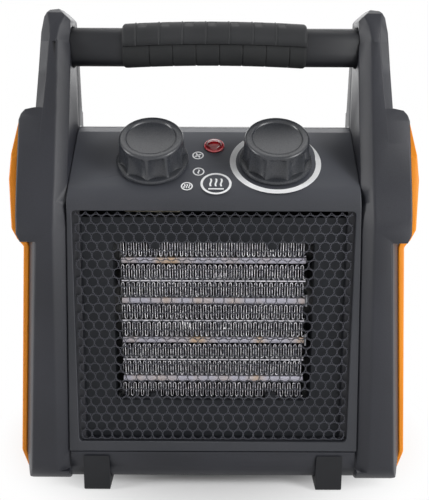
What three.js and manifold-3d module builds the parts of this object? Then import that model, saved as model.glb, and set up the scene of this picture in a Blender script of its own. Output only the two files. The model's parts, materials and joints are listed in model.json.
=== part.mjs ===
// Portable forced air heater: a two-shell plastic body with two upright arms, a carrying bar,
// a sloping control panel, a ceramic heating element behind a honeycomb grille and an axial fan.
// Millimetres, +Z up. X runs to the right, Y runs from the front to the back.
// Inside the assembly Y is 0 at the front of the two pillars; the outer group centres it.

import * as THREE from 'three';
import { mergeVertices } from 'three/addons/utils/BufferGeometryUtils.js';
import Module from 'manifold-3d';

const wasm = await Module();
wasm.setup();

// ---- clearances ----
const seatGap = 0.3;
const runningGap = 0.6;

// ---- body ----
const overallDepth = 166;
const glandStandout = 3;
const bodyRearY = overallDepth - glandStandout;
const bodyBottomZ = 4.5;
const shoulderZ = 198;
const wallThickness = 2.5;
const seamY = 50;
const upperHalfWidth = 96.4;
const lowerHalfWidth = 92.7;
const lowerSplay = 6.2;
const waistZ = 130;
const rearChamferWidth = 9;
const rearChamferDepth = 13;
const facetRise = 4;
const facetWidth = 5.3;
const facetDepth = 13;
const pillarToe = 12;

// ---- arms and carrying bar ----
const armInnerX = 72;
const centreSplay = 3;
const armOuterX = 90;
const armTopOuterX = 86.4;
const armTopZ = 246;
const armLeanStartZ = 140;
const armLeanY = 30;
const armTopDepth = 25;
const armBaseRearY = 63.5;
const armChamferWidth = 5.8;
const armChamferDepth = 5;
const barCentreZ = 227.4;
const barHeight = 19;
const barDepth = 20;
const barCornerRadius = 6.5;
const barRecess = 4;
const gripLength = 92.5;
const gripThickness = 1.8;
const gripLift = 0.6;
const gripGrooves = 7;
const gripGroovePitch = 11.7;
const upperGrooveShift = -2.9;
const lowerGrooveShift = 3.4;
const gripGrooveWidth = 1.2;
const gripGrooveDepth = 0.8;

// ---- front panel with the sloping control face ----
const faceY = 4;
const faceBottomZ = 22;
const toeDepth = 9;
const panelCornerZ = 157;
const panelAngle = THREE.MathUtils.degToRad(35);
const panelTopZ = 184.5;
const browRise = 1.9;
const deckLength = 14;
const deckFall = 23;
const panelThickness = 3;
const panelFillet = 14;
const panelSeatWidth = 6;
const ledgeThickness = 3;

// ---- honeycomb outlet grille ----
const grilleWidth = 138.4;
const grilleHeight = 121.6;
const grilleBottomZ = 27.5;
const grilleThickness = 1.6;
const grillePitch = 13;
const grilleWall = 1.5;
const grilleRim = 1.6;
const grilleEdgeGap = 0.8;

// ---- controls ----
const knobSpacing = 62;
const knobUpSlope = 24.3;
const knobBaseRadius = 18.2;
const knobWaistRadius = 17;
const knobTopRadius = 15.5;
const knobHeight = 15.6;
const knobFlange = 2.2;
const knobRim = 1.8;
const knobLobes = 10;
const knobDishRadius = 12.2;
const knobDishDepth = 0.7;
const scallopRadius = 3.9;
const spindleRadius = 3;
const spindleReach = 10;
const bushRadius = 4.75;
const switchSize = 34;
const switchDepth = 16;
const thermostatRadius = 13;
const lampUpSlope = 36.3;
const lampRadius = 4.3;
const lampRimRadius = 5.2;
const lampBodyLength = 15;

// ---- heating element ----
const elementWidth = 94;
const elementCentreZ = 90;
const elementDepth = 15;
const elementFrontY = 14.5;
const finHeight = 7.9;
const finFolds = 13;
const finSheet = 0.4;
const elementBarHeight = 3.4;
const separatorHeight = 0.8;
const frameWall = 4;
const frameFlange = 2;
const frameFlangeWidth = 144;
const frameFlangeBottomZ = 21;
const frameFlangeTopZ = 145;
const clipX = 30;
const clipWidth = 5.5;
const clipReach = 3.5;
const terminalRoom = 3.5;
const terminalLength = 26;
const cutoutSize = [14, 10, 5];

// ---- air path ----
const fanRadius = 54;
const fanTipGap = 2.5;
const fanBlades = 7;
const fanHubRadius = 17;
const fanHubLength = 20;
const fanHubWall = 2;
const fanHubChamfer = 4;
const fanHubFloor = 12;
const shaftBossWall = 3.2;
const bladeRoot = 1.5;
const bladeInset = 0.5;
const fanY = 84;
const bladeRootAngle = 52;
const bladeTipAngle = 30;
const bladeChord = 27;
const bladeThickness = 1.8;
const ductWall = 2.5;
const ductPlateY = 58;
const ductPlateWidth = 126;
const ductPlateHeight = 119;
const ductEndY = 104;
const motorRadius = 27;
const motorFlangeRadius = 31;
const motorLength = 32;
const motorShaftRadius = 2.5;
const motorGap = 4;
const shaftDepth = 12;
const shaftEndWall = 3;
const bracketArms = 4;
const bracketArmWidth = 9;
const bracketThickness = 3;
const intakeRadius = 58;
const intakeRings = 4;
const intakeSpokes = 6;
const intakeBarWidth = 2.4;
const intakeThickness = 3;

// ---- side panels, feet and fixings ----
const sidePanelThickness = 3.5;
const sidePanelBulge = 5.5;
const sidePanelFrontY = 14;
const sidePanelRearGap = 16;
const sidePanelRearY = bodyRearY - sidePanelRearGap;
const sidePanelBottomZ = 6.5;
const sidePanelTopZ = 191;
const sideFieldDepth = 1;
const fieldLength = 104;
const fieldHeight = 76;
const footX = 60.8;
const footWidth = 13.7;
const footDepth = 22;
const rearFootInset = 23;
const rearFootY = bodyRearY - rearFootInset;
const rearFootRadius = 9;
const rearFootStem = 2.6;
const screwHeadRadius = 3.8;
const screwHeadHeight = 2.4;
const screwShankRadius = 1.8;
const screwLength = 14;
const screwFloorOffset = 5;
const bossRadius = 5.6;
const cornerScrewX = 82;
const cornerScrewLowZ = 17;
const cornerScrewHighZ = 140;
const armScrewX = 81;
const armScrewZ = 207;
const glandRadius = 8;
const glandBodyRadius = 6;
const glandBore = 3.9;
const glandX = 60;
const glandZ = 26;
const terminalBlock = [30, 15, 12];

// ---- materials ----
const plastic = (color, roughness) => new THREE.MeshStandardMaterial({ color, roughness, metalness: 0 });
const metal = (color, roughness) => new THREE.MeshStandardMaterial({ color, roughness, metalness: 1 });
const charcoalPlastic = plastic(0x3f4144, 0.6);
const blackPlastic = plastic(0x2b2c2e, 0.55);
const orangePlastic = plastic(0xe8910f, 0.45);
const softGrip = plastic(0x343537, 0.85);
const heatResin = plastic(0x1c1c1d, 0.7);
const paleResin = plastic(0xd8d0bd, 0.6);
const redLens = plastic(0xb01018, 0.15);
const grilleMetal = metal(0x55565a, 0.5);
const aluminium = metal(0xa9a7ae, 0.35);
const steel = metal(0x8f9194, 0.4);

// ---- geometry helpers ----
// A closed mesh as a solid that can be joined and cut, with its faces pointing outwards.
function solid(geometry) {
  const bare = geometry.index ? geometry.toNonIndexed() : geometry.clone();
  bare.deleteAttribute('normal');
  bare.deleteAttribute('uv');
  const merged = mergeVertices(bare, 1e-4);
  const corners = merged.attributes.position;
  const triangles = [];
  const [a, b, c] = [new THREE.Vector3(), new THREE.Vector3(), new THREE.Vector3()];
  let volume = 0;
  for (let i = 0; i < merged.index.count; i += 3) {
    const [p, q, r] = [0, 1, 2].map((k) => merged.index.getX(i + k));
    if (p !== q && q !== r && r !== p) {
      triangles.push([p, q, r]);
      a.fromBufferAttribute(corners, p);
      b.fromBufferAttribute(corners, q);
      c.fromBufferAttribute(corners, r);
      volume += a.dot(b.cross(c));
    }
  }
  const outward = volume > 0 ? triangles : triangles.map(([p, q, r]) => [p, r, q]);
  return new wasm.Manifold(new wasm.Mesh({
    numProp: 3,
    vertProperties: Float32Array.from(corners.array),
    triVerts: Uint32Array.from(outward.flat()),
  }));
}

function geometryOf(shape) {
  const { vertProperties, triVerts, numProp } = shape.getMesh();
  const geometry = new THREE.BufferGeometry();
  const position = new Float32Array((vertProperties.length / numProp) * 3);
  for (let i = 0; i < position.length; i += 1) {
    position[i] = vertProperties[Math.floor(i / 3) * numProp + (i % 3)];
  }
  geometry.setAttribute('position', new THREE.BufferAttribute(position, 3));
  geometry.setIndex(Array.from(triVerts));
  return geometry;
}

const join = (...shapes) => shapes.reduce((sum, shape) => sum.add(shape));
const cut = (base, ...tools) => tools.reduce((rest, tool) => rest.subtract(tool), base);
const overlap = (...shapes) => shapes.reduce((rest, shape) => rest.intersect(shape));
const moved = (shape, matrix) => solid(geometryOf(shape).applyMatrix4(matrix));
const at = (shape, x, y, z) => moved(shape, new THREE.Matrix4().makeTranslation(x, y, z));
const mirrorX = (shape) => moved(shape, new THREE.Matrix4().makeScale(-1, 1, 1));

// An outline pushed along one axis: 'x' takes (y, z) points, 'y' takes (x, z), 'z' takes (x, y).
function prism(axis, points, from, to, holes = []) {
  const shape = new THREE.Shape(points.map(([a, b]) => new THREE.Vector2(a, b)));
  for (const hole of holes) {
    shape.holes.push(new THREE.Path(hole.map(([a, b]) => new THREE.Vector2(a, b))));
  }
  const geometry = new THREE.ExtrudeGeometry(shape, { depth: to - from, bevelEnabled: false });
  const place = new THREE.Matrix4();
  const x = new THREE.Vector3(1, 0, 0);
  const y = new THREE.Vector3(0, 1, 0);
  const z = new THREE.Vector3(0, 0, 1);
  if (axis === 'x') {
    place.makeBasis(y, z, x).setPosition(from, 0, 0);
  } else if (axis === 'y') {
    place.makeBasis(x, z, y.clone().negate()).setPosition(0, to, 0);
  } else {
    place.makeBasis(x, y, z).setPosition(0, 0, from);
  }
  return solid(geometry.applyMatrix4(place));
}

function box(x0, x1, y0, y1, z0, z1) {
  const geometry = new THREE.BoxGeometry(x1 - x0, y1 - y0, z1 - z0);
  return solid(geometry.translate((x0 + x1) / 2, (y0 + y1) / 2, (z0 + z1) / 2));
}

// A round solid from (radius, height) points, its height along Y or Z.
function turned(profile, axis, segments) {
  const points = profile.map(([r, h]) => new THREE.Vector2(r, h));
  const geometry = new THREE.LatheGeometry(points, segments);
  return solid(axis === 'y' ? geometry : geometry.rotateX(Math.PI / 2));
}

function rod(radius, from, to, axis, segments) {
  return turned([[0, from], [radius, from], [radius, to], [0, to]], axis, segments);
}

// A band between two radii; both ends of the profile meet.
function ring(inner, outer, from, to, axis, segments) {
  const profile = [[inner, from], [outer, from], [outer, to], [inner, to], [inner, from]];
  return turned(profile, axis, segments);
}

function arc(cx, cy, radius, start, end, steps, secondRadius = radius) {
  return Array.from({ length: steps + 1 }, (_, i) => {
    const angle = THREE.MathUtils.degToRad(start + ((end - start) * i) / steps);
    return [cx + radius * Math.cos(angle), cy + secondRadius * Math.sin(angle)];
  });
}

function roundedRectangle(width, height, radius, steps) {
  const x = width / 2 - radius;
  const y = height / 2 - radius;
  return [
    ...arc(x, y, radius, 0, 90, steps),
    ...arc(-x, y, radius, 90, 180, steps),
    ...arc(-x, -y, radius, 180, 270, steps),
    ...arc(x, -y, radius, 270, 360, steps),
  ];
}

const shift = (points, dx, dy) => points.map(([a, b]) => [a + dx, b + dy]);
const bothSides = (points) => [...points, ...points.map(([a, b]) => [-a, b]).reverse()];

// An outline moved inwards by a distance, corner by corner; its points run anticlockwise.
function inset(points, by) {
  const count = points.length;
  return points.map(([a, b], i) => {
    const [pa, pb] = points[(i + count - 1) % count];
    const [na, nb] = points[(i + 1) % count];
    const before = new THREE.Vector2(a - pa, b - pb).normalize();
    const after = new THREE.Vector2(na - a, nb - b).normalize();
    const middle = before.clone().add(after).normalize();
    const reach = by / middle.dot(after);
    return [a - middle.y * reach, b + middle.x * reach];
  });
}

// A solid skin through rings that all have the same number of points.
function loft(rings) {
  const count = rings[0].length;
  const index = [];
  for (let r = 0; r + 1 < rings.length; r += 1) {
    for (let i = 0; i < count; i += 1) {
      const a = r * count + i;
      const b = r * count + ((i + 1) % count);
      index.push(a, b, b + count, a, b + count, a + count);
    }
  }
  const last = (rings.length - 1) * count;
  for (let i = 1; i + 1 < count; i += 1) {
    index.push(0, i + 1, i, last, last + i, last + i + 1);
  }
  const geometry = new THREE.BufferGeometry();
  geometry.setAttribute('position', new THREE.Float32BufferAttribute(rings.flat(2), 3));
  geometry.setIndex(index);
  return solid(geometry);
}

// ---- assembly ----
const heater = new THREE.Group();
const body = new THREE.Group();
body.position.y = -overallDepth / 2;
heater.add(body);

// The control panel's own frame: X to the right, Y up the slope, Z out of the panel.
const panel = new THREE.Group();
panel.position.set(0, faceY, panelCornerZ);
panel.rotation.x = panelAngle;
panel.updateMatrix();
body.add(panel);
const onPanel = (shape) => moved(shape, panel.matrix);

function piece(name, shape, material, parent = body) {
  const mesh = new THREE.Mesh(geometryOf(shape), material);
  mesh.name = name;
  parent.add(mesh);
  return mesh;
}

// ---- body outline ----
// The front edge of the pillars and arms: upright, then leaning back towards the carrying bar.
const armFrontCurve = new THREE.CubicBezierCurve(
  new THREE.Vector2(0, armLeanStartZ),
  new THREE.Vector2(0, armLeanStartZ + 20),
  new THREE.Vector2(armLeanY - 8, shoulderZ - 3),
  new THREE.Vector2(armLeanY, armTopZ),
);
const armFrontPoints = armFrontCurve.getPoints(10).map((p) => [p.x, p.y]);

function armFrontY(z) {
  for (let i = 1; i < armFrontPoints.length; i += 1) {
    const [y0, z0] = armFrontPoints[i - 1];
    const [y1, z1] = armFrontPoints[i];
    if (z <= z1) return THREE.MathUtils.mapLinear(Math.max(z, z0), z0, z1, y0, y1);
  }
  return armLeanY;
}

const panelTopY = faceY + (panelTopZ - panelCornerZ) / Math.tan(panelAngle);
const deckZ = panelTopZ + browRise;
const deckEndY = panelTopY + deckLength;
const deckAt = (y) => THREE.MathUtils.mapLinear(y, deckEndY, bodyRearY, deckZ, deckZ - deckFall);
const armRearY = (z) => THREE.MathUtils.mapLinear(z, deckZ, armTopZ, armBaseRearY, armLeanY + armTopDepth);

const rearTop = { y: bodyRearY - 20, z: deckZ - deckFall - 14, radius: 20 };
const rearToe = 10;
const sideProfile = [
  ...arc(bodyRearY - rearToe, bodyBottomZ + rearToe, rearToe, 270, 360, 4),
  ...arc(rearTop.y, rearTop.z, rearTop.radius, 0, 62, 6),
  [seamY, shoulderZ],
  [armFrontY(shoulderZ), shoulderZ],
  ...armFrontPoints.filter(([, z]) => z < shoulderZ).reverse(),
  ...arc(pillarToe, bodyBottomZ + pillarToe, pillarToe, 180, 270, 6),
];

// Half of the body as seen from the front: a lower part that splays towards the floor, a short step
// at the waist and a wider upper part with a rounded shoulder.
const halfOutline = [
  [lowerHalfWidth + lowerSplay - 5.4, bodyBottomZ],
  [lowerHalfWidth + lowerSplay - 2, bodyBottomZ + 3.5],
  [lowerHalfWidth + lowerSplay, bodyBottomZ + 13],
  [lowerHalfWidth, waistZ - 1],
  [lowerHalfWidth + 1.4, waistZ + 3],
  [upperHalfWidth, waistZ + 8],
  [upperHalfWidth - 0.2, shoulderZ - 6],
  [upperHalfWidth - 1.2, shoulderZ - 3],
  [upperHalfWidth - 3.2, shoulderZ - 0.9],
  [upperHalfWidth - 7.4, shoulderZ],
];
const frontOutline = bothSides(halfOutline);

const widest = Math.max(upperHalfWidth, lowerHalfWidth + lowerSplay) + 1;
const planOutline = bothSides([
  [widest - rearChamferWidth, bodyRearY],
  [widest, bodyRearY - rearChamferDepth],
  [widest, 0],
].reverse());

// The front view of the recessed centre between the pillars, drawn in by an offset.
const centreOutline = (offset) => bothSides([
  [armInnerX + centreSplay - offset, -10],
  [armInnerX + centreSplay - offset, faceBottomZ],
  [armInnerX - offset, panelCornerZ],
  [armInnerX - offset, armTopZ + 30],
]);

// The centre of the body seen from the side, moved inwards by an offset: the flat front face, a
// fillet and the sloping panel up to its top edge.
function centreLine(offset, bottomZ = faceBottomZ) {
  const slope = THREE.MathUtils.radToDeg(panelAngle);
  const filletDrop = (panelFillet * (1 - Math.sin(panelAngle))) / Math.cos(panelAngle);
  return [
    [faceY + offset, bottomZ],
    ...arc(faceY + panelFillet, panelCornerZ - filletDrop, panelFillet - offset, 180, 90 + slope, 6),
    [panelTopY + offset * Math.sin(panelAngle), panelTopZ - offset * Math.cos(panelAngle)],
  ];
}

// The rounded toe below the flat face, from the underside up to the face, kept clear by a gap.
const faceToe = (gap) => arc(
  faceY + toeDepth,
  faceBottomZ,
  toeDepth + gap,
  270,
  180,
  6,
  faceBottomZ - bodyBottomZ + gap,
);

// Everything in front of and above the centre of the body, between the arms.
function centreAir(offset) {
  const far = overallDepth + 20;
  return [
    [-20, bodyBottomZ],
    ...faceToe(0).slice(0, -1),
    ...centreLine(offset),
    [seamY, deckZ - offset],
    [deckEndY, deckZ - offset],
    [far, deckAt(far) - offset],
    [far, armTopZ + 20],
    [-20, armTopZ + 20],
  ];
}

// The inner edge of a pillar at a height: upright above the panel's corner, splayed below it.
function centreEdge(z) {
  if (z >= panelCornerZ) return armInnerX;
  return THREE.MathUtils.mapLinear(z, faceBottomZ, panelCornerZ, armInnerX + centreSplay, armInnerX);
}

// ---- arms ----
function armBlock() {
  const lowZ = armLeanStartZ + 10;
  const levels = Array.from({ length: 7 }, (_, i) => lowZ + ((armTopZ - lowZ) * i) / 6);
  const rings = levels.map((z) => {
    const front = armFrontY(z);
    const outer = THREE.MathUtils.mapLinear(z, shoulderZ, armTopZ, armOuterX, armTopOuterX);
    return [
      [armInnerX, front, z],
      [outer - armChamferWidth, front, z],
      [outer, front + armChamferDepth + 3, z],
      [outer, armRearY(z), z],
      [armInnerX, armRearY(z), z],
    ];
  });
  const headOutline = [
    [armInnerX - 1, 0],
    [armOuterX + 9, 0],
    [armTopOuterX + 1, armTopZ - 12],
    [armTopOuterX - 1, armTopZ - 4],
    [armTopOuterX - 4, armTopZ - 0.6],
    [armTopOuterX - 8.5, armTopZ],
    [armInnerX + 1.5, armTopZ - 4],
    [armInnerX - 1, armTopZ - 6.5],
  ];
  const headRear = armRearY(armTopZ);
  const headFront = armFrontY(armTopZ);
  const headSide = [
    [-5, 0],
    [headRear + 60, 0],
    [headRear + 0.5, armTopZ - 10],
    [headRear - 4, armTopZ - 1.5],
    [headRear - 9, armTopZ + 1],
    [headFront + 9, armTopZ + 1],
    [headFront + 3, armTopZ - 2],
    [headFront - 1, armTopZ - 9],
    [-5, armLeanStartZ],
  ];
  return overlap(
    loft(rings),
    prism('y', headOutline, -5, overallDepth),
    prism('x', headSide, armInnerX - 1, armOuterX + 1),
  );
}

// The inner front edge of each pillar and arm is cut off at an angle, all the way up.
function armEdgeCut() {
  const heights = armFrontPoints.map(([, z]) => z);
  const levels = [0, panelCornerZ, ...heights, armTopZ + 10].sort((a, b) => a - b);
  const steep = armChamferDepth / armChamferWidth;
  const rings = levels.map((z) => {
    const front = armFrontY(z);
    const inner = centreEdge(z);
    return [
      [inner - 1, front - 2, z],
      [inner + armChamferWidth + 2 / steep, front - 2, z],
      [inner - 1, front + armChamferDepth + steep, z],
    ];
  });
  return overlap(loft(rings), box(0, armOuterX, -20, overallDepth, pillarToe, armTopZ + 20));
}

// Below the waist the outer front edge is cut to a facet that follows the splayed side.
function facetCut() {
  const sideAt = (z) => (
    lowerHalfWidth + THREE.MathUtils.mapLinear(z, bodyBottomZ + 13, waistZ - 1, lowerSplay, 0)
  );
  const rings = [-5, waistZ + facetRise].map((z) => {
    const side = sideAt(z);
    return [
      [side - facetWidth - 0.4, -1, z],
      [side + 6, -1, z],
      [side + 6, facetDepth + 1, z],
      [side + 0.4, facetDepth + 1, z],
    ];
  });
  return loft(rings);
}

// Behind the arms the cheeks of the body narrow towards the rear.
function cheekCut() {
  const startY = armBaseRearY + seatGap;
  const outline = bothSides([
    [armInnerX - 1, startY],
    [armInnerX, startY],
    [upperHalfWidth - 6, bodyRearY - 18],
    [upperHalfWidth - 4, bodyRearY + 10],
  ]);
  const above = [
    [deckEndY, deckZ],
    [overallDepth + 10, deckAt(overallDepth + 10)],
    [overallDepth + 10, armTopZ],
    [deckEndY, armTopZ],
  ];
  return overlap(prism('z', outline, 0, armTopZ), prism('x', above, -widest, widest));
}

// ---- carrying bar ----
const barY = (armFrontY(barCentreZ) + armRearY(barCentreZ)) / 2;
const barHalfLength = armInnerX + barRecess;

function barProfile(extra, lift = 0) {
  const radius = barCornerRadius + extra - lift;
  const height = barHeight + 2 * extra - 2 * lift;
  const points = roundedRectangle(barDepth + 2 * extra, height, radius, 3);
  return shift(points, barY, barCentreZ + lift);
}

function gripHalf(side) {
  const skin = seatGap + gripThickness;
  const half = side * gripLength / 2;
  const low = side > 0 ? barCentreZ + seatGap / 2 : barCentreZ - barHeight;
  const high = side > 0 ? barCentreZ + barHeight : barCentreZ - seatGap / 2;
  const middle = side > 0 ? upperGrooveShift : lowerGrooveShift;
  const first = middle - ((gripGrooves - 1) * gripGroovePitch) / 2;
  const outside = prism('x', barProfile(skin + 2, gripLift), -Math.abs(half), Math.abs(half));
  const grooveFloor = barProfile(skin - gripGrooveDepth, gripLift);
  const groove = cut(outside, prism('x', grooveFloor, -gripLength, gripLength));
  const grooves = Array.from({ length: gripGrooves }, (_, i) => {
    const x = first + i * gripGroovePitch;
    const slot = box(x - gripGrooveWidth / 2, x + gripGrooveWidth / 2, 0, overallDepth, 0, armTopZ);
    return overlap(groove, slot);
  });
  return cut(
    overlap(
      prism('x', barProfile(skin, gripLift), -Math.abs(half), Math.abs(half)),
      box(-gripLength, gripLength, 0, overallDepth, low, high),
    ),
    prism('x', barProfile(seatGap), -gripLength, gripLength),
    ...grooves,
  );
}

// ---- shells ----
const bossSpots = [-1, 1].flatMap((side) => [
  [side * cornerScrewX, cornerScrewLowZ],
  [side * cornerScrewX, cornerScrewHighZ],
]);
const armScrewSpots = [[-armScrewX, armScrewZ], [armScrewX, armScrewZ]];
const screwFloorY = seamY + screwFloorOffset;

// A counterbore from behind for the head, and a hole through the seam for the shank.
function screwBore(x, z) {
  const shankEnd = screwFloorY - screwLength - 1;
  return at(join(
    rod(screwHeadRadius + seatGap, screwFloorY, overallDepth + 5, 'y', 12),
    rod(screwShankRadius + seatGap, shankEnd, screwFloorY + 1, 'y', 8),
  ), x, 0, z);
}

function bodyShell() {
  const arm = armBlock();
  const edge = armEdgeCut();
  const facet = facetCut();
  const centre = prism('y', centreOutline(0), -20, overallDepth + 20);
  const air = overlap(centre, join(
    prism('x', centreAir(0), -widest, widest),
    overlap(
      prism('x', centreAir(panelThickness + seatGap), -widest, widest),
      box(-widest, widest, -20, seamY, faceBottomZ - seatGap, armTopZ),
    ),
  ));
  const block = overlap(
    prism('x', sideProfile, -widest, widest),
    prism('y', frontOutline, -5, overallDepth),
    prism('z', planOutline, 0, armTopZ),
  );
  const outside = cut(block, air, facet, mirrorX(facet), cheekCut());
  const innerRear = bodyRearY - wallThickness;
  const cavityProfile = [
    ...centreLine(panelThickness + ledgeThickness, bodyBottomZ + wallThickness),
    [deckEndY, deckZ - panelThickness - wallThickness],
    [rearTop.y + 7, deckAt(rearTop.y + 7) - wallThickness - 1],
    ...arc(rearTop.y, rearTop.z, rearTop.radius - wallThickness, 40, 0, 4),
    [innerRear, bodyBottomZ + wallThickness],
  ];
  const cavity = overlap(
    prism('x', cavityProfile, -widest, widest),
    prism('y', inset(frontOutline, wallThickness), 0, overallDepth),
    prism('z', inset(planOutline, wallThickness), 0, armTopZ),
  );
  const bosses = bossSpots.map(([x, z]) => (
    at(rod(bossRadius, faceY + panelThickness, bodyRearY - 1, 'y', 12), x, 0, z)
  ));
  const windowX = armInnerX - panelSeatWidth;
  const [slopeY, slopeZ] = centreLine(0).at(-1);
  const windowProfile = [
    [0, faceBottomZ + panelSeatWidth],
    [faceY + 16, faceBottomZ + panelSeatWidth],
    [faceY + 16, panelCornerZ - 8],
    [slopeY + 6, slopeZ - 14],
    [slopeY - 6, slopeZ],
    [0, panelCornerZ + 6],
  ];
  const barHole = prism('x', barProfile(seatGap), armInnerX - 1, barHalfLength + seatGap);
  return cut(
    join(cut(join(outside, arm, mirrorX(arm)), cavity), ...bosses),
    edge,
    mirrorX(edge),
    prism('x', windowProfile, -windowX, windowX),
    barHole,
    mirrorX(barHole),
    at(rod(intakeRadius + seatGap, bodyRearY - 8, overallDepth, 'y', 28), 0, 0, elementCentreZ),
    at(rod(glandBodyRadius + seatGap, bodyRearY - 8, overallDepth, 'y', 14), glandX, 0, glandZ),
    ...[-1, 1].map((side) => (
      at(rod(rearFootStem + seatGap, 0, bodyBottomZ + 8, 'z', 8), side * footX, rearFootY, 0)
    )),
    ...[...bossSpots, ...armScrewSpots].map(([x, z]) => screwBore(x, z)),
  );
}

function housings() {
  const shell = bodyShell();
  const frontHalf = box(-150, 150, -20, seamY - seatGap / 2, 0, 300);
  const rearHalf = box(-150, 150, seamY + seatGap / 2, overallDepth + 20, 0, 300);
  piece('front_housing', overlap(shell, frontHalf), charcoalPlastic);
  piece('rear_housing', overlap(shell, rearHalf), charcoalPlastic);
}

// ---- front panel ----
const knobX = knobSpacing / 2;
const grilleCentreZ = grilleBottomZ + grilleHeight / 2;

function frontPanel() {
  const profile = [
    ...centreLine(0),
    [seamY - seatGap / 2, deckZ],
    [seamY - seatGap / 2, deckZ - panelThickness],
    ...centreLine(panelThickness).reverse(),
  ];
  const through = (radius, x, y) => (
    onPanel(at(rod(radius, -panelThickness - 2, 2, 'z', 16), x, y, 0))
  );
  const opening = shift(roundedRectangle(grilleWidth, grilleHeight, 2, 3), 0, grilleCentreZ);
  piece('front_panel', cut(
    overlap(
      prism('x', profile, -widest, widest),
      prism('y', centreOutline(seatGap), -20, overallDepth),
    ),
    prism('y', opening, -5, faceY + panelThickness + 3),
    through(bushRadius + seatGap, -knobX, knobUpSlope),
    through(bushRadius + seatGap, knobX, knobUpSlope),
    through(lampRadius + seatGap, 0, lampUpSlope),
  ), charcoalPlastic);
}

// The outlet grille: rows of pointed-top hexagons with thin walls, the rows offset by half a cell.
function frontGrille() {
  const width = grilleWidth - 2 * grilleEdgeGap;
  const height = grilleHeight - 2 * grilleEdgeGap;
  const rearY = faceY + panelThickness;
  const rowPitch = (grillePitch * Math.sqrt(3)) / 2;
  const rows = Math.floor((height / 2) / rowPitch);
  const columns = Math.floor((width / 2) / grillePitch) + 1;
  const holes = [];
  for (let row = -rows; row <= rows; row += 1) {
    const stagger = row % 2 === 0 ? 0 : grillePitch / 2;
    for (let column = -columns; column <= columns; column += 1) {
      const x = column * grillePitch + stagger;
      const reach = grillePitch / 2 + grilleRim - grilleWall / 2;
      if (Math.abs(x) < width / 2 - reach && Math.abs(row * rowPitch) < height / 2 - reach) {
        const radius = (grillePitch - grilleWall) / Math.sqrt(3);
        holes.push(shift(arc(0, 0, radius, 30, 330, 5), x, grilleCentreZ + row * rowPitch));
      }
    }
  }
  const outline = shift(roundedRectangle(width, height, 1.5, 2), 0, grilleCentreZ);
  piece('front_grille', prism('y', outline, rearY - grilleThickness, rearY, holes), grilleMetal);
}

// ---- controls, built along the panel's normal ----
function knob() {
  const flangeTop = runningGap + knobFlange;
  const top = runningGap + knobHeight;
  const turnedBody = turned([
    [0, runningGap],
    [knobBaseRadius, runningGap],
    [knobBaseRadius, flangeTop - 0.6],
    [knobBaseRadius - 0.8, flangeTop],
    [knobWaistRadius, flangeTop],
    [knobTopRadius + 0.4, top - 3],
    [knobTopRadius + 0.2, top - 0.7],
    [knobTopRadius - 0.5, top],
    [knobDishRadius + 0.5, top],
    [knobDishRadius, top - knobDishDepth],
    [0, top - knobDishDepth],
  ], 'z', 30);
  const scallops = Array.from({ length: knobLobes }, (_, i) => {
    const angle = ((i + 0.5) * 2 * Math.PI) / knobLobes;
    const reach = knobWaistRadius + 0.9;
    const flute = rod(scallopRadius, flangeTop, top - knobRim, 'z', 8);
    return at(flute, reach * Math.cos(angle), reach * Math.sin(angle), 0);
  });
  const bore = rod(spindleRadius + seatGap, 0, spindleReach + seatGap, 'z', 10);
  return cut(turnedBody, ...scallops, bore);
}

const spindle = () => rod(spindleRadius, seatGap - switchDepth, spindleReach, 'z', 10);
const bush = () => rod(bushRadius, -panelThickness - 1, -seatGap, 'z', 16);
const spindleHole = () => rod(spindleRadius + seatGap, -switchDepth, 2, 'z', 10);

function selectorSwitch() {
  const rear = -panelThickness - seatGap;
  const half = switchSize / 2;
  return cut(join(
    prism('z', roundedRectangle(switchSize, switchSize, 4, 2), rear - switchDepth, rear),
    box(-half + 4, -half + 9, -3, 3, rear - switchDepth - 4, rear - switchDepth + 1),
    box(half - 9, half - 4, -3, 3, rear - switchDepth - 4, rear - switchDepth + 1),
    bush(),
  ), spindleHole());
}

function thermostat() {
  const rear = -panelThickness - seatGap;
  const plate = prism('z', roundedRectangle(switchSize, switchSize - 8, 5, 2), rear - 1.5, rear);
  return cut(join(
    plate,
    rod(thermostatRadius, rear - switchDepth, rear - 1, 'z', 20),
    box(-6, 6, thermostatRadius - 4, thermostatRadius + 4, rear - 9, rear - 1),
    bush(),
  ), spindleHole());
}

function controls() {
  const parts = [
    ['selector', -knobX, selectorSwitch(), 'selector_switch', paleResin],
    ['thermostat', knobX, thermostat(), 'thermostat_body', steel],
  ];
  for (const [name, x, unit, unitName, material] of parts) {
    piece(`${name}_knob`, knob(), blackPlastic, panel).position.set(x, knobUpSlope, 0);
    piece(`${name}_spindle`, spindle(), steel, panel).position.set(x, knobUpSlope, 0);
    piece(unitName, unit, material, panel).position.set(x, knobUpSlope, 0);
  }
}

function lamp() {
  const stem = -panelThickness / 2;
  const rim = seatGap + 0.7;
  const lens = turned([
    [0, stem],
    [lampRadius, stem],
    [lampRadius, seatGap],
    [lampRimRadius, seatGap],
    [lampRimRadius, rim],
    ...arc(0, rim, lampRadius, 0, 90, 3, 2.2).slice(0, -1),
    [0, rim + 2.2],
  ], 'z', 16);
  const holder = rod(lampRadius, stem - seatGap - lampBodyLength, stem - seatGap, 'z', 14);
  piece('lamp_lens', lens, redLens, panel).position.set(0, lampUpSlope, 0);
  piece('lamp_holder', holder, paleResin, panel).position.set(0, lampUpSlope, 0);
}

// ---- heating element: fin rows between flat heating bars, with thin plates between stacks ----
const stackOrder = 'fin bar fin plate fin bar fin plate fin bar fin plate fin bar fin'.split(' ');
const layerHeights = { fin: finHeight, bar: elementBarHeight, plate: separatorHeight };
const stackHeight = stackOrder.reduce((sum, kind) => sum + layerHeights[kind], 0)
  + (stackOrder.length - 1) * seatGap;
const frameInnerX = elementWidth / 2 + terminalRoom;
const frameInnerZ = stackHeight / 2 + seatGap;
const elementRearY = elementFrontY + elementDepth;

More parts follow.
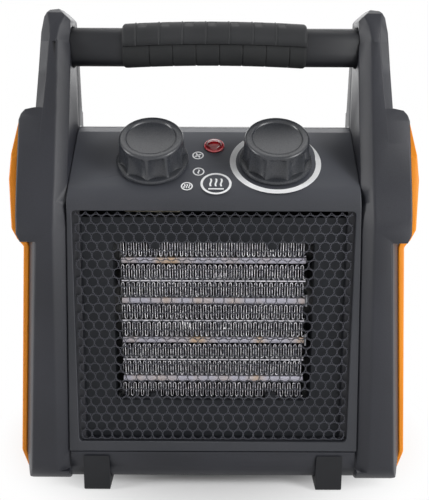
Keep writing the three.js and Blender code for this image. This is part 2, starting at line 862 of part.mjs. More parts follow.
// One sheet folded up and down across the width.
function finRow(z) {
  const step = elementWidth / (2 * finFolds);
  const skin = (finSheet * finHeight) / step / 2;
  const fold = Array.from({ length: 2 * finFolds + 1 }, (_, i) => [
    i * step - elementWidth / 2,
    i % 2 === 0 ? z + skin : z + finHeight - skin,
  ]);
  const outline = [...shift(fold, 0, -skin), ...shift(fold, 0, skin).reverse()];
  return prism('y', outline, elementFrontY, elementRearY);
}

function heatingElement() {
  const counts = { fin: 0, bar: 0, plate: 0 };
  const names = { fin: 'fin_row', bar: 'heating_bar', plate: 'stack_plate' };
  const barEnds = roundedRectangle(elementDepth, elementBarHeight, 1, 2);
  let z = elementCentreZ + stackHeight / 2;
  for (const kind of stackOrder) {
    z -= layerHeights[kind];
    counts[kind] += 1;
    const name = `${names[kind]}_${counts[kind]}`;
    const half = elementWidth / 2;
    if (kind === 'fin') {
      piece(name, finRow(z), aluminium);
    } else if (kind === 'bar') {
      const profile = shift(barEnds, elementFrontY + elementDepth / 2, z + elementBarHeight / 2);
      piece(name, prism('x', profile, -half, half), aluminium);
      if (counts.bar === 2 || counts.bar === 3) {
        terminal(counts.bar === 2 ? 'upper_terminal' : 'lower_terminal', z + elementBarHeight / 2);
      }
    } else {
      piece(name, box(-half, half, elementFrontY, elementRearY, z, z + separatorHeight), aluminium);
    }
    z -= seatGap;
  }
}

function terminal(name, z) {
  const x = elementWidth / 2 + seatGap;
  const y = elementFrontY + 1;
  piece(name, box(x, x + 1, y, y + terminalLength, z - 3.2, z + 3.2), steel);
}

// The resin frame closes off the space round the element and holds it by small clips.
function elementFrame() {
  const flangeFrontY = faceY + panelThickness + ledgeThickness + seatGap;
  const flangeY = flangeFrontY + frameFlange;
  const flangeZ = (frameFlangeTopZ + frameFlangeBottomZ) / 2;
  const flangeHeight = frameFlangeTopZ - frameFlangeBottomZ;
  const inner = shift(roundedRectangle(2 * frameInnerX, 2 * frameInnerZ, 1, 1), 0, elementCentreZ);
  const outerWidth = 2 * (frameInnerX + frameWall);
  const outerHeight = 2 * (frameInnerZ + frameWall);
  const outer = shift(roundedRectangle(outerWidth, outerHeight, 3, 2), 0, elementCentreZ);
  const flange = shift(roundedRectangle(frameFlangeWidth, flangeHeight, 4, 2), 0, flangeZ);
  const clips = [-1, 1].flatMap((side) => [-1, 1].flatMap((end) => {
    const x0 = side * clipX - clipWidth / 2;
    const edge = elementCentreZ + end * (frameInnerZ - clipReach / 2 + 0.5);
    const half = (clipReach + 1) / 2;
    return [
      box(x0, x0 + clipWidth, flangeFrontY, elementFrontY - seatGap, edge - half, edge + half),
      box(x0, x0 + clipWidth, elementRearY + seatGap, elementRearY + 3, edge - half, edge + half),
    ];
  }));
  piece('element_frame', join(
    prism('y', flange, flangeFrontY, flangeY, [inner]),
    prism('y', outer, flangeY - 0.5, frameRearY, [inner]),
    ...clips,
  ), heatResin);
}

const frameRearY = elementRearY + 4;

function thermalCutout() {
  const [length, depth, height] = cutoutSize;
  const base = elementCentreZ + frameInnerZ + frameWall + seatGap;
  const y = elementFrontY + 2;
  piece('thermal_cutout', join(
    box(-length / 2, length / 2, y, y + depth, base, base + height / 2),
    at(rod(depth / 2 - 0.6, base, base + height, 'z', 14), 0, y + depth / 2, 0),
  ), paleResin);
}

// ---- air path ----
const throatRadius = fanRadius + fanTipGap;

function fanDuct() {
  const tubeInner = shift(roundedRectangle(2 * frameInnerX, 2 * frameInnerZ, 1, 1), 0, elementCentreZ);
  const tubeOuter = shift(
    roundedRectangle(2 * (frameInnerX + ductWall), 2 * (frameInnerZ + ductWall), 3, 2),
    0,
    elementCentreZ,
  );
  const plate = shift(roundedRectangle(ductPlateWidth, ductPlateHeight, 6, 2), 0, elementCentreZ);
  const tubeFrontY = frameRearY + seatGap;
  piece('fan_duct', cut(
    join(
      prism('y', tubeOuter, tubeFrontY, ductPlateY + ductWall, [tubeInner]),
      prism('y', plate, ductPlateY, ductPlateY + ductWall),
      at(rod(throatRadius + ductWall, ductPlateY, ductEndY, 'y', 28), 0, 0, elementCentreZ),
    ),
    at(rod(throatRadius, ductPlateY + 0.4, ductEndY + 5, 'y', 28), 0, 0, elementCentreZ),
    prism('y', tubeInner, tubeFrontY - 1, ductPlateY + ductWall),
  ), heatResin);
}

// A blade grows from the hub, flatter towards its tip, with a cambered section.
function fanBlade(turn) {
  const sections = 3;
  const rootRadius = fanHubRadius - bladeRoot;
  const rings = Array.from({ length: sections + 1 }, (_, i) => {
    const share = i / sections;
    const radius = THREE.MathUtils.lerp(rootRadius, fanRadius, share);
    const pitch = THREE.MathUtils.degToRad(THREE.MathUtils.lerp(bladeRootAngle, bladeTipAngle, share));
    const chord = bladeChord * (0.72 + 0.55 * share - 0.2 * share * share);
    const sweep = 0.5 * share * share;
    const camber = 0.09 * chord;
    const half = bladeThickness / 2;
    const section = [
      [-chord / 2, 0],
      [-chord / 6, camber - half],
      [chord / 6, camber - half],
      [chord / 2, 0],
      [chord / 6, camber + half],
      [-chord / 6, camber + half],
    ];
    return section.map(([along, lift]) => {
      const around = along * Math.cos(pitch) - lift * Math.sin(pitch);
      const axial = along * Math.sin(pitch) + lift * Math.cos(pitch);
      const angle = turn + sweep + around / radius;
      return [radius * Math.cos(angle), axial, radius * Math.sin(angle)];
    });
  });
  return loft(rings);
}

function impeller() {
  const half = fanHubLength / 2;
  const hub = turned([
    [0, -half],
    [fanHubRadius - fanHubChamfer, -half],
    [fanHubRadius, -half + fanHubChamfer],
    [fanHubRadius, half],
    [0, half],
  ], 'y', 24);
  const blades = Array.from({ length: fanBlades }, (_, i) => fanBlade((i * 2 * Math.PI) / fanBlades));
  const disc = rod(fanRadius, bladeInset - half, half - bladeInset, 'y', 40);
  const boreRadius = motorShaftRadius + seatGap;
  const bore = rod(boreRadius, shaftEndWall - half, half + 1, 'y', 10);
  const bossRim = boreRadius + shaftBossWall;
  const recess = ring(bossRim, fanHubRadius - fanHubWall, fanHubFloor - half, half + 1, 'y', 24);
  return cut(join(hub, overlap(join(...blades), disc)), recess, bore);
}

const motorFrontY = fanY + fanHubLength / 2 + motorGap;

function motor() {
  const bore = rod(motorShaftRadius + seatGap, motorFrontY - 1, motorFrontY + shaftDepth + 1, 'y', 10);
  const bracketY = ductEndY + seatGap;
  return cut(turned([
    [0, motorFrontY],
    [8, motorFrontY],
    [9, motorFrontY + 2],
    [motorFlangeRadius, motorFrontY + 3],
    [motorFlangeRadius, bracketY - seatGap],
    [motorRadius, bracketY - seatGap],
    [motorRadius, motorFrontY + motorLength],
    [motorRadius - 3, motorFrontY + motorLength + 2],
    [0, motorFrontY + motorLength + 2],
  ], 'y', 24), bore);
}

function motorBracket() {
  const y0 = ductEndY + seatGap;
  const y1 = y0 + bracketThickness;
  const reach = throatRadius + ductWall;
  const arms = Array.from({ length: bracketArms / 2 }, (_, i) => {
    const arm = box(-reach, reach, y0, y1, -bracketArmWidth / 2, bracketArmWidth / 2);
    const turn = Math.PI / bracketArms + (i * 2 * Math.PI) / bracketArms;
    return moved(arm, new THREE.Matrix4().makeRotationY(turn));
  });
  return cut(
    join(rod(motorFlangeRadius + 3, y0, y1, 'y', 24), ...arms),
    rod(motorRadius + seatGap, y0 - 1, y1 + 1, 'y', 24),
  );
}

function fanUnit() {
  const centre = new THREE.Group();
  centre.position.z = elementCentreZ;
  body.add(centre);
  piece('fan_impeller', impeller(), heatResin, centre).position.y = fanY;
  const shaftFront = fanY - fanHubLength / 2 + shaftEndWall + seatGap;
  const shaftRear = motorFrontY + shaftDepth;
  piece('motor_shaft', rod(motorShaftRadius, shaftFront, shaftRear, 'y', 10), steel, centre);
  piece('fan_motor', motor(), steel, centre);
  piece('motor_bracket', motorBracket(), steel, centre);
}

// The intake grille: rings and spokes, with a flange that lies behind the rear wall.
function intakeGrille() {
  const rearY = bodyRearY + 0.6;
  const frontY = rearY - intakeThickness;
  const wallY = bodyRearY - wallThickness - seatGap;
  const outer = intakeRadius - intakeBarWidth - 1;
  const pitch = (outer - 8) / intakeRings;
  const rings = Array.from({ length: intakeRings - 1 }, (_, i) => {
    const radius = 8 + (i + 1) * pitch;
    return ring(radius - intakeBarWidth, radius, frontY, rearY, 'y', 18);
  });
  const spokes = Array.from({ length: intakeSpokes / 2 }, (_, i) => {
    const spoke = box(-outer - 1, outer + 1, frontY, rearY, -intakeBarWidth / 2, intakeBarWidth / 2);
    return moved(spoke, new THREE.Matrix4().makeRotationY((i * 2 * Math.PI) / intakeSpokes));
  });
  const grille = join(
    rod(8, frontY, rearY, 'y', 16),
    ...rings,
    ...spokes,
    ring(outer, intakeRadius, wallY - 2, rearY, 'y', 28),
    ring(outer, intakeRadius + 3, wallY - 2, wallY, 'y', 28),
  );
  piece('intake_grille', at(grille, 0, 0, elementCentreZ), blackPlastic);
}

// ---- side panels, feet and fixings ----
function sidePanel() {
  const skin = inset(frontOutline, -seatGap).slice(0, halfOutline.length);
  const inner = skin.filter(([, z]) => z > sidePanelBottomZ && z < sidePanelTopZ);
  const skinAt = (z) => {
    const next = skin.findIndex(([, height]) => height > z);
    const [[x0, z0], [x1, z1]] = [skin[next - 1], skin[next]];
    return THREE.MathUtils.mapLinear(z, z0, z1, x0, x1);
  };
  const outer = [
    [lowerHalfWidth + lowerSplay - 0.6, sidePanelBottomZ],
    [lowerHalfWidth + lowerSplay + sidePanelThickness - 0.4, sidePanelBottomZ + 11],
    [lowerHalfWidth + sidePanelThickness, waistZ - 1],
    [upperHalfWidth + sidePanelThickness - 0.8, waistZ + 2.5],
    [upperHalfWidth + sidePanelBulge, waistZ + 8],
    [upperHalfWidth + sidePanelBulge, waistZ + 33],
    [upperHalfWidth + sidePanelBulge - 2, sidePanelTopZ - 13],
    [upperHalfWidth + 1.6, sidePanelTopZ],
  ];
  const [lowX, highX] = [sidePanelBottomZ, sidePanelTopZ].map(skinAt);
  const band = [[lowX, sidePanelBottomZ], ...outer, [highX, sidePanelTopZ], ...inner.reverse()];
  const wingAt = (y) => THREE.MathUtils.mapLinear(y, seamY, rearTop.y + 14, shoulderZ, rearTop.z + 26);
  const sideOutline = [
    [sidePanelFrontY, sidePanelBottomZ],
    [sidePanelRearY - 5, sidePanelBottomZ],
    [sidePanelRearY, sidePanelBottomZ + 6],
    [sidePanelRearY, wingAt(sidePanelRearY) - 13],
    [sidePanelRearY - 8, wingAt(sidePanelRearY - 8) - 8],
    [seamY, sidePanelTopZ],
    [sidePanelFrontY + 10, sidePanelTopZ],
    [sidePanelFrontY, sidePanelTopZ - 16],
  ];
  const field = roundedRectangle(fieldLength, fieldHeight, 10, 4);
  const fieldY = (sidePanelFrontY + sidePanelRearY) / 2;
  const fieldZ = (sidePanelBottomZ + waistZ) / 2 + 2;
  const floor = [[0, sidePanelBottomZ], ...shift(outer, -sideFieldDepth, 0), [0, sidePanelTopZ]];
  const recess = cut(
    prism('x', shift(field, fieldY, fieldZ), lowerHalfWidth, widest + sidePanelBulge),
    prism('y', floor, 0, overallDepth),
  );
  return cut(
    overlap(
      prism('y', band, 0, overallDepth),
      prism('x', sideOutline, 0, widest + sidePanelBulge),
    ),
    recess,
  );
}

function frontFoot() {
  const sole = bodyBottomZ - seatGap;
  const profile = [
    [faceY - 0.6, 1],
    [faceY + 0.4, 0],
    [faceY + footDepth - 1, 0],
    [faceY + footDepth, 1],
    [faceY + footDepth, sole],
    ...faceToe(seatGap).slice(0, -1),
    [faceY - 0.6, faceBottomZ - 2],
  ];
  return prism('x', profile, footX - footWidth / 2, footX + footWidth / 2);
}

function rearFoot() {
  const foot = turned([
    [0, 0],
    [rearFootRadius - 1, 0],
    [rearFootRadius, 1],
    [rearFootRadius, bodyBottomZ - seatGap],
    [rearFootStem, bodyBottomZ - seatGap],
    [rearFootStem, bodyBottomZ + wallThickness + 2],
    [0, bodyBottomZ + wallThickness + 2],
  ], 'z', 16);
  return at(foot, footX, rearFootY, 0);
}

// A pan-head screw along Y, its head resting on the floor of its counterbore.
function screw() {
  const seat = screwFloorY + seatGap / 3;
  const slot = box(-screwHeadRadius, screwHeadRadius, seat + screwHeadHeight - 1, seat + 9, -0.5, 0.5);
  return cut(turned([
    [0, seat - screwLength],
    [screwShankRadius, seat - screwLength + 1.5],
    [screwShankRadius, seat],
    [screwHeadRadius, seat],
    [screwHeadRadius, seat + screwHeadHeight - 0.6],
    [screwHeadRadius - 0.8, seat + screwHeadHeight],
    [0, seat + screwHeadHeight],
  ], 'y', 10), slot);
}

function cableGland() {
  const inside = bodyRearY - wallThickness - seatGap;
  const gland = turned([
    [glandBore, inside - 5],
    [glandRadius, inside - 5],
    [glandRadius, inside],
    [glandBodyRadius, inside],
    [glandBodyRadius, bodyRearY + seatGap],
    [glandRadius, bodyRearY + seatGap],
    [glandRadius - 1.5, overallDepth],
    [glandBore, overallDepth],
    [glandBore, inside - 5],
  ], 'y', 14);
  piece('cable_gland', at(gland, glandX, 0, glandZ), blackPlastic);
}

function wiringBlock() {
  const [length, depth, height] = terminalBlock;
  const floor = bodyBottomZ + wallThickness + seatGap;
  const y = rearFootY - 32;
  const block = box(glandX - length, glandX, y, y + depth, floor, floor + height);
  const slots = [0, 1, 2].map((i) => {
    const x = glandX - length + 5 + i * 10;
    return at(rod(2.2, floor + height - 4, floor + height + 1, 'z', 10), x, y + depth / 2, 0);
  });
  piece('terminal_block', cut(block, ...slots), paleResin);
}

function leftAndRight(name, shape, material) {
  piece(`right_${name}`, shape, material);
  piece(`left_${name}`, mirrorX(shape), material);
}

housings();
frontPanel();
frontGrille();
piece('carrying_bar', prism('x', barProfile(0), -barHalfLength, barHalfLength), blackPlastic);
piece('upper_grip', gripHalf(1), softGrip);
piece('lower_grip', gripHalf(-1), softGrip);
controls();
lamp();
heatingElement();
elementFrame();
thermalCutout();
fanDuct();
fanUnit();
intakeGrille();
leftAndRight('side_panel', sidePanel(), orangePlastic);
leftAndRight('front_foot', frontFoot(), softGrip);
leftAndRight('rear_foot', rearFoot(), softGrip);
bossSpots.forEach(([x, z], i) => piece(`body_screw_${i + 1}`, at(screw(), x, 0, z), steel));
armScrewSpots.forEach(([x, z], i) => piece(`arm_screw_${i + 1}`, at(screw(), x, 0, z), steel));
cableGland();
wiringBlock();

export default heater;
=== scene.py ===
# Forced air heater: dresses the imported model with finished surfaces, a fine mesh grille,
# folded fins, printed marks, a plain studio and the photograph's camera.
import json
import math
import bpy
import bmesh
from mathutils import Matrix, Vector

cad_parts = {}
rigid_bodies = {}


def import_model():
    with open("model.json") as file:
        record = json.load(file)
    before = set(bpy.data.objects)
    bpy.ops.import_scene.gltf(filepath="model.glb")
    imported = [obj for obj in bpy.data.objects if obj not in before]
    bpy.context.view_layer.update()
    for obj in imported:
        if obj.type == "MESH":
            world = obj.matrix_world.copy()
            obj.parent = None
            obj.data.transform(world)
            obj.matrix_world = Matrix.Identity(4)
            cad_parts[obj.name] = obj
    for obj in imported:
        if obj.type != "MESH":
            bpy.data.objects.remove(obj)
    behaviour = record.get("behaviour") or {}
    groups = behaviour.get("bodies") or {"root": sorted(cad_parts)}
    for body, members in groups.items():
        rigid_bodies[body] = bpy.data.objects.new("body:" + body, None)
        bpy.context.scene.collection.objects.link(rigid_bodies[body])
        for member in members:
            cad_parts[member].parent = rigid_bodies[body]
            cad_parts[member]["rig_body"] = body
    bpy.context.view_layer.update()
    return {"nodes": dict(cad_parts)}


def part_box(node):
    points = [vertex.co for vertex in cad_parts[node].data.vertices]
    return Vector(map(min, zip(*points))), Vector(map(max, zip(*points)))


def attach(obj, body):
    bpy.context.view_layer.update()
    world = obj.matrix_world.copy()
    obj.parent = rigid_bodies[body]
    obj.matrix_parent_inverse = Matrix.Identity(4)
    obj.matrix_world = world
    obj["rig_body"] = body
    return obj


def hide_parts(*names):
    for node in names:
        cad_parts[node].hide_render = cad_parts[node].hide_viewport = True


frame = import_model()
mm = 0.001


def linear(hexColour):
    # sRGB hex to the linear values that the shaders want
    parts = [int(hexColour[i:i + 2], 16) / 255 for i in (1, 3, 5)]
    return [c / 12.92 if c <= 0.04045 else ((c + 0.055) / 1.055) ** 2.4 for c in parts] + [1.0]


def addNode(tree, kind, settings=None, values=None, links=None):
    # one node with its settings, its socket values and its incoming links
    node = tree.nodes.new(kind)
    for key, value in (settings or {}).items():
        setattr(node, key, value)
    for socket, value in (values or {}).items():
        node.inputs[socket].default_value = value
    for socket, source in (links or {}).items():
        tree.links.new(source, node.inputs[socket])
    return node


def setRamp(ramp, stops):
    # colour stops as (position, hex) pairs
    elements = ramp.color_ramp.elements
    while len(elements) < len(stops):
        elements.new(0.5)
    for element, (position, hexColour) in zip(elements, stops):
        element.position = position
        element.color = linear(hexColour)
    return ramp.outputs["Color"]


# Colours from dark to light, roughness from low to high, sizes in millimetres: the clouds of tone,
# the grain on the skin and how deep the grain looks. A small stretch draws the grain out along an axis.
# Moulding grain is finer than a pixel of the render, so it is drawn coarser than the real one.
surfaces = {
    # moulded ABS body shells, spark-eroded grain
    "charcoalAbs": {"tones": ("#212227", "#2c2d33"), "rough": (0.36, 0.5), "cloud": 45, "grain": 0.55,
                    "deep": 0.1, "shader": {"IOR": 1.53, "Specular IOR Level": 0.3}},
    # the control panel's moulding, a little smoother and darker
    "panelAbs": {"tones": ("#282a2f", "#34353a"), "rough": (0.34, 0.48), "cloud": 40, "grain": 0.5,
                 "deep": 0.07, "shader": {"IOR": 1.53, "Specular IOR Level": 0.34}},
    # polished knobs
    "knobAbs": {"tones": ("#27292d", "#34363b"), "rough": (0.22, 0.34), "cloud": 14, "grain": 0.4,
                "deep": 0.05, "shader": {"IOR": 1.53, "Specular IOR Level": 0.5}},
    # plain black mouldings: bar, intake grille, cable gland
    "blackAbs": {"tones": ("#15161a", "#1e1f22"), "rough": (0.44, 0.62), "cloud": 30, "grain": 0.55,
                 "deep": 0.1, "shader": {"IOR": 1.53, "Specular IOR Level": 0.3}},
    # orange side panels
    "orangeAbs": {"tones": ("#dc800c", "#ec9014"), "rough": (0.34, 0.46), "cloud": 50, "grain": 0.6,
                  "deep": 0.06, "shader": {"IOR": 1.53, "Specular IOR Level": 0.3}},
    # soft thermoplastic rubber of the grip's two halves
    "gripRubber": {"tones": ("#1d1e20", "#28292b"), "rough": (0.55, 0.8), "cloud": 20, "grain": 0.5,
                   "deep": 0.08, "shader": {"IOR": 1.5, "Specular IOR Level": 0.3, "Sheen Weight": 0.08}},
    # the lower half's copy of the same rubber, painted a little darker as painted shade on the half that
    # faces down, and a little rougher
    "shadedLowerGripRubber": {"tones": ("#1b1c1d", "#252627"), "rough": (0.6, 0.85), "cloud": 20, "grain": 0.5,
                        "deep": 0.08, "shader": {"IOR": 1.5, "Specular IOR Level": 0.25}},
    # rubber feet
    "footRubber": {"tones": ("#141518", "#1d1e21"), "rough": (0.5, 0.7), "cloud": 18, "grain": 0.6,
                   "deep": 0.08, "shader": {"IOR": 1.5, "Specular IOR Level": 0.28}},
    # glass-filled resin of the element frame, duct and fan
    "heatResin": {"tones": ("#181a1f", "#212429"), "rough": (0.45, 0.65), "cloud": 25, "grain": 0.7,
                  "deep": 0.12, "shader": {"IOR": 1.5, "Specular IOR Level": 0.3}},
    # natural resin of the switch, cut-out, lamp holder and terminal block
    "paleResin": {"tones": ("#c9c0aa", "#ded6c3"), "rough": (0.4, 0.6), "cloud": 16, "grain": 0.6,
                  "deep": 0.06, "shader": {"IOR": 1.52}},
    # bare rolled aluminium of the element's thin plates, streaked along the roll
    "plateAluminium": {"tones": ("#b9b7be", "#efedf3"), "rough": (0.24, 0.42), "cloud": 9, "grain": 0.6,
                       "deep": 0.04, "stretch": (0.12, 1.0, 1.0), "shader": {"Metallic": 1.0}},
    # zinc-plated steel of the motor, screws, spindles and terminals
    "zincSteel": {"tones": ("#84868a", "#a9abae"), "rough": (0.3, 0.5), "cloud": 5, "grain": 1.2,
                  "deep": 0.04, "shader": {"Metallic": 1.0}},
    # steel mesh under a dark powder coat
    "meshCoat": {"tones": ("#3a3b42", "#4c4d55"), "rough": (0.3, 0.46), "cloud": 30, "grain": 0.8,
                 "deep": 0.05, "shader": {"IOR": 1.5, "Specular IOR Level": 0.45}},
    # white pad-printing ink, thin and matt
    "whiteInk": {"tones": ("#f2f3f4", "#fdfdfe"), "rough": (0.5, 0.75), "cloud": 3, "grain": 0.6,
                 "deep": 0.01, "shader": {"IOR": 1.48, "Specular IOR Level": 0.3}},
}


def makeSurface(name, tones, rough, cloud, grain, deep, shader, stretch=(1.0, 1.0, 1.0)):
    # slow clouds of tone under a fine grain that also drives the roughness and the relief
    material = bpy.data.materials.new(name)
    material.use_nodes = True
    tree = material.node_tree
    principled = tree.nodes["Principled BSDF"]
    for socket, value in shader.items():
        principled.inputs[socket].default_value = value
    place = addNode(tree, "ShaderNodeTexCoord").outputs["Object"]
    drawn = addNode(tree, "ShaderNodeMapping", values={"Scale": stretch}, links={"Vector": place}).outputs[0]
    slow = addNode(tree, "ShaderNodeTexNoise", values={"Scale": 1 / (cloud * mm), "Detail": 2.0},
                   links={"Vector": place}).outputs["Fac"]
    fine = addNode(tree, "ShaderNodeTexNoise", values={
        "Scale": 1 / (grain * mm), "Detail": 3.0, "Roughness": 0.6}, links={"Vector": drawn}).outputs["Fac"]
    both = addNode(tree, "ShaderNodeMix", {"data_type": "FLOAT"}, {0: 0.45}, {2: slow, 3: fine}).outputs[0]
    ramp = addNode(tree, "ShaderNodeValToRGB", links={"Fac": both})
    tree.links.new(setRamp(ramp, [(0.34, tones[0]), (0.66, tones[1])]), principled.inputs["Base Color"])
    roughness = addNode(tree, "ShaderNodeMapRange", values={"To Min": rough[0], "To Max": rough[1]},
                        links={"Value": fine}).outputs["Result"]
    tree.links.new(roughness, principled.inputs["Roughness"])
    bump = addNode(tree, "ShaderNodeBump", values={"Strength": 0.35, "Distance": deep * mm},
                   links={"Height": fine}).outputs["Normal"]
    tree.links.new(bump, principled.inputs["Normal"])
    return material


def makeHeatedSkin():
    # the heating bars' aluminium skins: pale grey, straw coloured where the stones run hottest
    material = makeSurface("barAluminium", ("#a9a7b2", "#bdbbc6"), (0.42, 0.6), 9, 0.9, 0.03,
                           {"Metallic": 0.7})
    tree = material.node_tree
    place = addNode(tree, "ShaderNodeTexCoord").outputs["Object"]
    stones = addNode(tree, "ShaderNodeMapping", values={"Scale": (1.0, 0.2, 0.3)},
                     links={"Vector": place}).outputs[0]
    patch = addNode(tree, "ShaderNodeTexNoise", values={"Scale": 75.0, "Detail": 1.0},
                    links={"Vector": stones}).outputs["Fac"]
    ramp = addNode(tree, "ShaderNodeValToRGB", links={"Fac": patch})
    colour = setRamp(ramp, [(0.42, "#bfbdc9"), (0.58, "#c6bcbc"), (0.7, "#d8b894")])
    tree.links.new(colour, tree.nodes["Principled BSDF"].inputs["Base Color"])
    return material


def driftAlong(material, axis, start, end, colour):
    # the base colour passes into another one between two places on an axis, given in millimetres
    tree = material.node_tree
    base = tree.nodes["Principled BSDF"].inputs["Base Color"]
    place = addNode(tree, "ShaderNodeTexCoord").outputs["Object"]
    apart = addNode(tree, "ShaderNodeSeparateXYZ", links={0: place})
    share = addNode(tree, "ShaderNodeMapRange", {"interpolation_type": "SMOOTHSTEP"}, {
        "From Min": start * mm, "From Max": end * mm}, {"Value": apart.outputs[axis]}).outputs[0]
    mixed = addNode(tree, "ShaderNodeMix", {"data_type": "RGBA"}, {7: linear(colour)},
                    {0: share, 6: base.links[0].from_socket}).outputs[2]
    tree.links.new(mixed, base)
    return share


def makeFoldedSkin():
    # the fins' aluminium: bright at the cut front edges, with painted shade down in the channels that turns
    # it near black and takes away its shine
    material = makeSurface("finAluminium", ("#7d7b83", "#fdfcff"), (0.3, 0.5), 3, 0.6, 0.04,
                           {"Metallic": 0.9}, (0.12, 1.0, 1.0))
    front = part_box("fin_row_1")[0].y / mm
    # painted shade: the colour goes near black towards the back of the channels, where the folds shade each
    # other
    depth = driftAlong(material, "Y", front + 0.05, front + 0.45, "#060607")
    tree = material.node_tree
    # the painted shade also dulls the metal and its shine down in the channels
    for socket, shallow, deep in (("Metallic", 0.9, 0.05), ("Specular IOR Level", 0.5, 0.04)):
        value = addNode(tree, "ShaderNodeMapRange", values={"To Min": shallow, "To Max": deep},
                        links={"Value": depth}).outputs[0]
        tree.links.new(value, tree.nodes["Principled BSDF"].inputs[socket])
    return material


# places along the heater in millimetres: Y is counted from its middle, and the front is negative
body = {"halfDepth": 83.0, "fanHeight": 90.0, "fanMiddle": 1.0, "motorFace": 15.0, "wallOutside": 77.2,
        "gratingBack": 80.6, "glandStep": 80.0}
slope = {"degrees": 35.0, "footBehindFront": 4.0, "footHeight": 157.0, "palerFrom": 150.0, "palerTo": 172.0}
lampShape = {"upSlope": 36.3, "rim": 5.2, "dome": 4.1}
panelAngle = math.radians(slope["degrees"])
panelOrigin = Vector((0, slope["footBehindFront"] - body["halfDepth"], slope["footHeight"])) * mm
panelUp = Vector((0, math.cos(panelAngle), math.sin(panelAngle)))
panelOut = Vector((0, -math.sin(panelAngle), math.cos(panelAngle)))
onPanel = Matrix.Translation(panelOrigin) @ Matrix.Rotation(panelAngle, 4, "X")


def makeLens():
    # red polycarbonate: a clear red dome, with painted shade darker down at its foot and a painted highlight
    # bright at the rim
    material = makeSurface("redPolycarbonate", ("#8f0710", "#c8141f"), (0.05, 0.12), 2.2, 1.1, 0.01, {
        "IOR": 1.5, "Specular IOR Level": 0.5, "Transmission Weight": 0.1, "Coat Weight": 0.5,
        "Coat Roughness": 0.03})
    tree = material.node_tree
    place = addNode(tree, "ShaderNodeTexCoord").outputs["Object"]
    centre = panelOrigin + panelUp * lampShape["upSlope"] * mm
    away = addNode(tree, "ShaderNodeVectorMath", {"operation": "DISTANCE"}, {1: centre}, {0: place})
    share = addNode(tree, "ShaderNodeMapRange", values={"From Max": lampShape["rim"] * mm},
                    links={"Value": away.outputs["Value"]}).outputs["Result"]
    # painted shade and painted highlight: the red darkens from the middle towards the dome's foot, then turns
    # pale at the rim
    ramp = addNode(tree, "ShaderNodeValToRGB", links={"Fac": share})
    colour = setRamp(ramp, [(0.3, "#c81a24"), (0.6, "#a30f19"), (0.78, "#7a0a12"), (0.92, "#e8525a")])
    tree.links.new(colour, tree.nodes["Principled BSDF"].inputs["Base Color"])
    return material


finishes = {name: makeSurface(name, **values) for name, values in surfaces.items()}
finishes["barAluminium"] = makeHeatedSkin()
finishes["finAluminium"] = makeFoldedSkin()
# the panel's slope is painted paler than its upright part, a painted highlight where the slope faces up
# towards the light
# painted highlight: a paler colour from the foot of the slope upwards
driftAlong(finishes["panelAbs"], "Z", slope["palerFrom"], slope["palerTo"], "#4e5057")
finishes["redPolycarbonate"] = makeLens()
print("materials ready:", len(finishes))


def finish(bm, name, finishName, nodeName, replaces=True, smooth=35):
    # a bmesh becomes a finished piece that rides with a CAD node and may stand in its place
    mesh = bpy.data.meshes.new(name)
    bm.to_mesh(mesh)
    bm.free()
    piece = bpy.data.objects.new(name, mesh)
    bpy.context.scene.collection.objects.link(piece)
    mesh.materials.append(finishes[finishName])
    if smooth:
        mesh.polygons.foreach_set("use_smooth", [True] * len(mesh.polygons))
        mesh.set_sharp_from_angle(angle=math.radians(smooth))
    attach(piece, frame["nodes"][nodeName]["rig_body"])
    if replaces:
        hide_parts(nodeName)
    return piece


def vertsOf(geometry):
    return [item for item in geometry if isinstance(item, bmesh.types.BMVert)]


def mergedCopy(nodeName):
    # a CAD node's loose triangles merged into flat faces, then the larger ones split into triangles
    bm = bmesh.new()
    bm.from_mesh(frame["nodes"][nodeName].data)
    bmesh.ops.remove_doubles(bm, verts=bm.verts, dist=2e-6)
    bmesh.ops.dissolve_limit(bm, angle_limit=math.radians(1), verts=bm.verts, edges=bm.edges,
                             delimit={"NORMAL"})
    bmesh.ops.triangulate(bm, faces=[f for f in bm.faces if len(f.verts) > 4], ngon_method="BEAUTY")
    return bm


def weighEdges(bm, width, angle):
    # each sharp edge asks for the full rounding, or for less where the faces beside it are narrow
    weights = bm.edges.layers.float.new("bevel_weight_edge")
    sharp = {e for e in bm.edges if len(e.link_faces) == 2 and e.calc_face_angle(0) > math.radians(angle)}
    room = {}
    for edge in sharp:
        room[edge] = width * mm
        for vert in edge.verts:
            along = (edge.other_vert(vert).co - vert.co).normalized()
            beside = [e for face in edge.link_faces for e in face.edges if e is not edge and vert in e.verts]
            for other in beside:
                step = other.other_vert(vert).co - vert.co
                if other not in sharp or along.dot(step.normalized()) > -0.8:
                    room[edge] = min(room[edge], along.cross(step).length * 0.42)
    for _ in range(2):
        # eased along each chain of edges, so that the rounding doesn't jump
        near = {e: [room[o] for v in e.verts for o in v.link_edges if o in room] for e in sharp}
        room = {e: min(room[e], 1.6 * min(near[e])) for e in sharp}
    for edge in sharp:
        edge[weights] = room[edge] / (width * mm)


def roundEdges(piece, width, segments, angle=None):
    # rounds the edges sharper than an angle, or without one the edges that carry a weight
    bevel = piece.modifiers.new("roundedEdges", "BEVEL")
    bevel.width = width * mm
    bevel.segments = segments
    bevel.limit_method = "ANGLE" if angle else "WEIGHT"
    bevel.angle_limit = math.radians(angle or 30)
    bevel.miter_outer = "MITER_ARC"
    bevel.harden_normals = True
    bevel.use_clamp_overlap = True


def dress(nodeName, finishName, width=0.5, segments=2, angle=28, smooth=40):
    # the node's own shape with rounded edges
    bm = mergedCopy(nodeName)
    weighEdges(bm, width, angle)
    piece = finish(bm, "dressed_" + nodeName, finishName, nodeName, True, smooth)
    roundEdges(piece, width, segments)
    return piece


